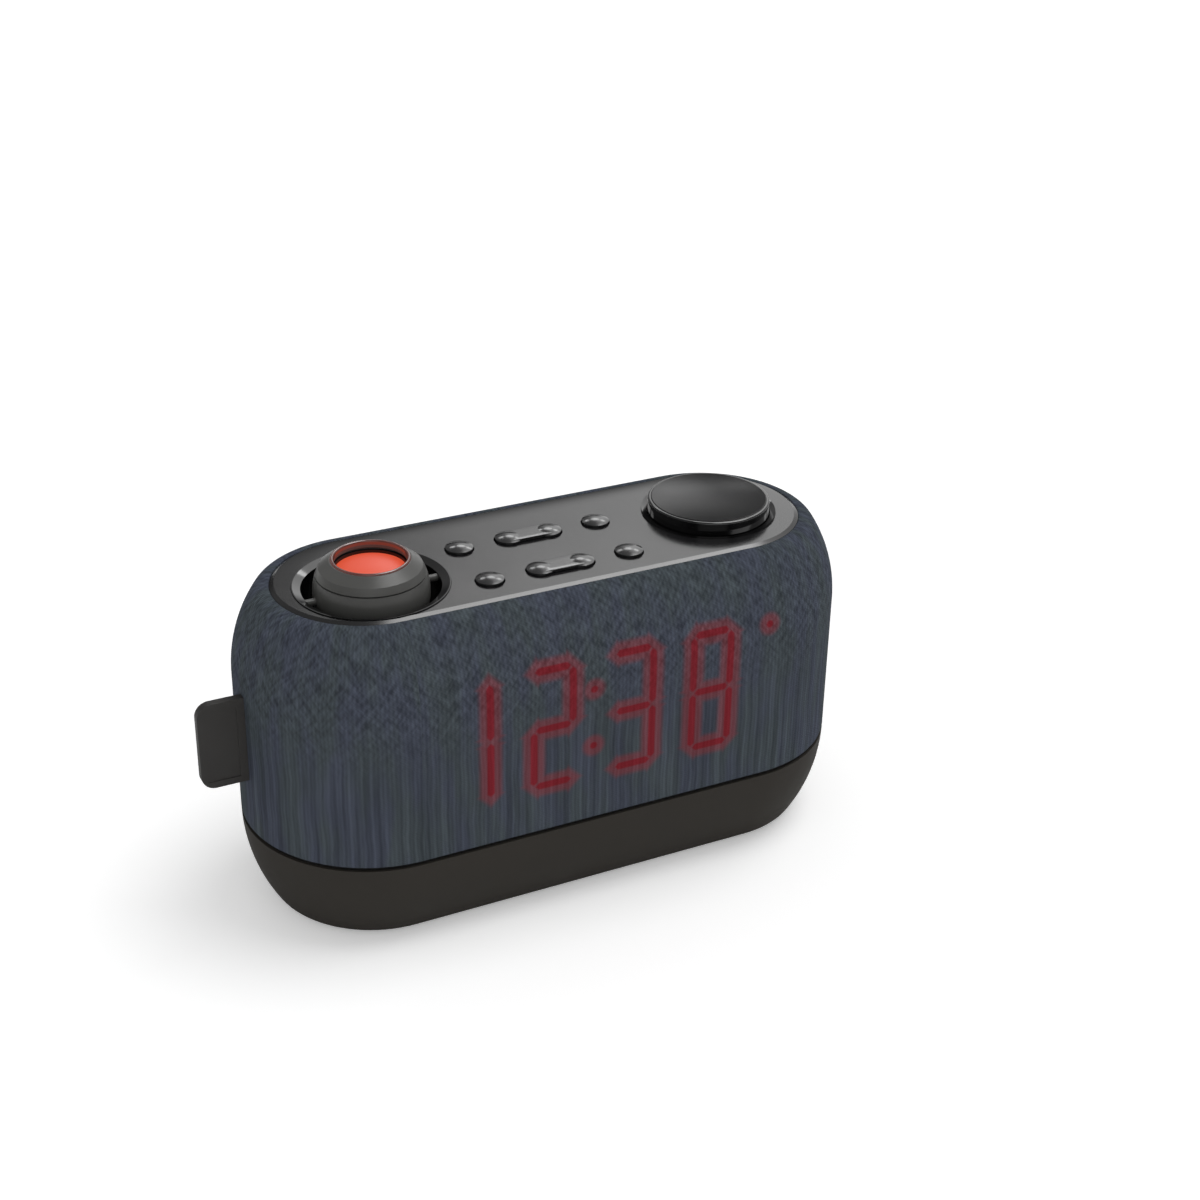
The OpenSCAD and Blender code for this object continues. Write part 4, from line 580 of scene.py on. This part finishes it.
def clothFinish(look):  # woven polyester: dull blue-grey, ribbed low down, flecked on the shoulder; the lit digits are painted on it as colour and glow
    material, tree = startMaterial("ribbedPolyesterPaintedGlow")
    thread = addNode(tree, "ShaderNodeUVMap", {"uv_map": "threads"})
    axes = addNode(tree, "ShaderNodeSeparateXYZ", links={0: thread.outputs[0]})
    sway = addNode(tree, "ShaderNodeTexNoise", {"Scale": 1 / (look["sway"][0] * mm), "Detail": 1.5},
                   {"Vector": thread.outputs[0]})
    across = addNode(tree, "ShaderNodeMath", {
        "operation": "MULTIPLY_ADD", 1: look["sway"][1] * mm},
        {0: sway.outputs[0], 2: axes.outputs["X"]})
    height = threadRelief(tree, across, axes.outputs["Y"], look)
    # painted shade: darker in the low places of the thread relief, lighter on the rib tops
    ribGrooveShade = addNode(tree, "ShaderNodeMapRange", {
        "From Min": -1 - look["pickShare"], "From Max": 1 + look["pickShare"],
        "To Min": look["ribGrooveShade"][0], "To Max": look["ribGrooveShade"][1]},
        {"Value": height.outputs[0]})
    streaks = uprightStreaks(tree, across, axes.outputs["Y"], look)
    rightward = leaningSpecks(tree, thread, look["lean"], look)
    leftward = leaningSpecks(tree, thread, -look["lean"], look)
    specks = addNode(tree, "ShaderNodeMath", {"operation": "ADD"},
                     {0: rightward.outputs[0], 1: leftward.outputs[0]})
    speckTone = addNode(tree, "ShaderNodeMapRange", {
        "From Min": 0.7, "From Max": 1.3,
        "To Min": look["speckTone"][0], "To Max": look["speckTone"][1]},
        {"Value": specks.outputs[0]})
    place = addNode(tree, "ShaderNodeTexCoord")
    heights = addNode(tree, "ShaderNodeSeparateXYZ", links={0: place.outputs["Object"]})
    shoulder = addNode(tree, "ShaderNodeMapRange", {
        "interpolation_type": "SMOOTHSTEP",
        "From Min": look["speckFrom"][0] * mm, "From Max": look["speckFrom"][1] * mm},
        {"Value": heights.outputs["Z"]})
    uneven = addNode(tree, "ShaderNodeMix", {"data_type": "FLOAT"},
                     {0: shoulder.outputs[0], 2: streaks.outputs[0], 3: speckTone.outputs[0]})
    tone = addNode(tree, "ShaderNodeMath", {"operation": "MULTIPLY"},
                   {0: uneven.outputs[0], 1: ribGrooveShade.outputs[0]})
    driftScale = addNode(tree, "ShaderNodeMapping", {
        "Scale": (1 / (look["drift"][0] * mm), 1 / (look["drift"][1] * mm), 1.0)},
        {"Vector": thread.outputs[0]})
    drift = addNode(tree, "ShaderNodeTexNoise", {"Scale": 1.0, "Detail": 2.0},
                    {"Vector": driftScale.outputs[0]})
    driftMix = addNode(tree, "ShaderNodeMapRange", {"From Min": 0.4, "From Max": 0.6},
                       {"Value": drift.outputs[0]})
    yarn = addNode(tree, "ShaderNodeMix", {
        "data_type": "RGBA", 6: linear(look["yarns"][0]), 7: linear(look["yarns"][1])},
        {0: driftMix.outputs[0]})
    # painted glow: the digits behind the cloth laid on it as colour and emission
    near = addNode(tree, "ShaderNodeAttribute", {"attribute_name": "paintedGlowDistance"})
    paintedHalo, paintedCore = [addNode(tree, "ShaderNodeMapRange", {
        "interpolation_type": "SMOOTHSTEP", "From Min": outer, "From Max": inner},
        {"Value": near.outputs["Fac"]}) for outer, inner in (look["haloEdge"], look["coreEdge"])]
    lit = addNode(tree, "ShaderNodeMix", {
        "data_type": "RGBA", 6: linear(look["paintedHalo"]), 7: linear(look["paintedCore"])},
        {0: paintedCore.outputs[0]})
    shown = addNode(tree, "ShaderNodeMix", {"data_type": "RGBA"},
                    {0: paintedHalo.outputs[0], 6: yarn.outputs[2], 7: lit.outputs[2]})
    face = addNode(tree, "ShaderNodeVectorMath", {"operation": "SCALE"},
                   {0: shown.outputs[2], "Scale": tone.outputs[0]})
    coreGlow = addNode(tree, "ShaderNodeMath", {"operation": "MULTIPLY", 1: look["coreLight"]},
                       {0: paintedCore.outputs[0]})
    glow = addNode(tree, "ShaderNodeMath", {"operation": "MULTIPLY_ADD", 1: look["haloLight"]},
                   {0: paintedHalo.outputs[0], 2: coreGlow.outputs[0]})
    bump = addNode(tree, "ShaderNodeBump", {
        "Strength": look["bump"], "Distance": look["bumpDepth"] * mm},
        {"Height": height.outputs[0]})
    shader = addNode(tree, "ShaderNodeBsdfPrincipled", {
        "Roughness": look["roughness"], "Specular IOR Level": look["specular"],
        "Emission Color": linear(look["light"])},
        {"Base Color": face.outputs[0], "Normal": bump.outputs[0],
         "Emission Strength": glow.outputs[0]})
    endMaterial(tree, shader)
    return material


clothSleeve, clothWide, clothHigh = makeSleeve(sleeve, digits)
clothSleeve.data.materials.append(clothFinish(weave))
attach(clothSleeve, "housing")
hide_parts("fabric_cover")
print("cloth sleeve made:", round(clothWide, 4), "x", round(clothHigh, 4), "m, faces",
      len(clothSleeve.data.polygons))

# rocker waists

saddle = {  # millimetres; the raised waist between a rocker's two lobes
    "middleX": -2.0, "rows": {"rocker_back": 6.0, "rocker_front": -15.0},
    "long": 12.0, "wide": 6.4, "low": 96.2, "high": 97.1,
    "round": 0.42, "roundSteps": 6, "cuts": 3,
}


def makeSaddle(name, y, look):
    bpy.ops.object.select_all(action="DESELECT")
    bpy.ops.mesh.primitive_cube_add(size=1, location=(
        look["middleX"] * mm, y * mm, (look["low"] + look["high"]) / 2 * mm))
    piece = bpy.context.object
    piece.name = name
    piece.scale = (look["long"] * mm, look["wide"] * mm, (look["high"] - look["low"]) * mm)
    bpy.ops.object.transform_apply(location=True, rotation=True, scale=True)
    bpy.ops.object.mode_set(mode="EDIT")
    bpy.ops.mesh.select_all(action="SELECT")
    bpy.ops.mesh.subdivide(number_cuts=look["cuts"])
    bpy.ops.mesh.select_all(action="DESELECT")
    bpy.ops.object.mode_set(mode="OBJECT")
    bevel = piece.modifiers.new("roundedEdges", "BEVEL")
    bevel.width = look["round"] * mm
    bevel.segments = look["roundSteps"]
    bevel.limit_method = "ANGLE"
    bpy.ops.object.modifier_apply(modifier=bevel.name)
    bpy.ops.object.shade_smooth_by_angle(angle=smoothAngle)
    piece.data.materials.append(made["keyAbs"])
    return piece


for body, y in saddle["rows"].items():
    waist = makeSaddle(body + "_waist", y, saddle)
    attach(waist, body)
print("rocker waists made")

# snooze spring

spring = {  # millimetres
    "press": 1.5,    # what the button takes off its length
    "merge": 0.01,   # doubles closer than this become one
}


def makeSpring(look):  # the modelled coil again, merged and shaded smooth, as a piece of its own
    bpy.ops.object.select_all(action="DESELECT")
    piece = bpy.data.objects.new("springCoil", frame["nodes"]["snooze_spring"].data.copy())
    bpy.context.scene.collection.objects.link(piece)
    piece.select_set(True)
    bpy.context.view_layer.objects.active = piece
    bpy.ops.object.mode_set(mode="EDIT")
    bpy.ops.mesh.select_all(action="SELECT")
    bpy.ops.mesh.remove_doubles(threshold=look["merge"] * mm)
    bpy.ops.object.mode_set(mode="OBJECT")
    bpy.ops.object.shade_smooth_by_angle(angle=smoothAngle)
    return piece


springCoil = makeSpring(spring)
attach(springCoil, "housing")
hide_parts("snooze_spring")
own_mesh(springCoil)
print("snooze spring made")
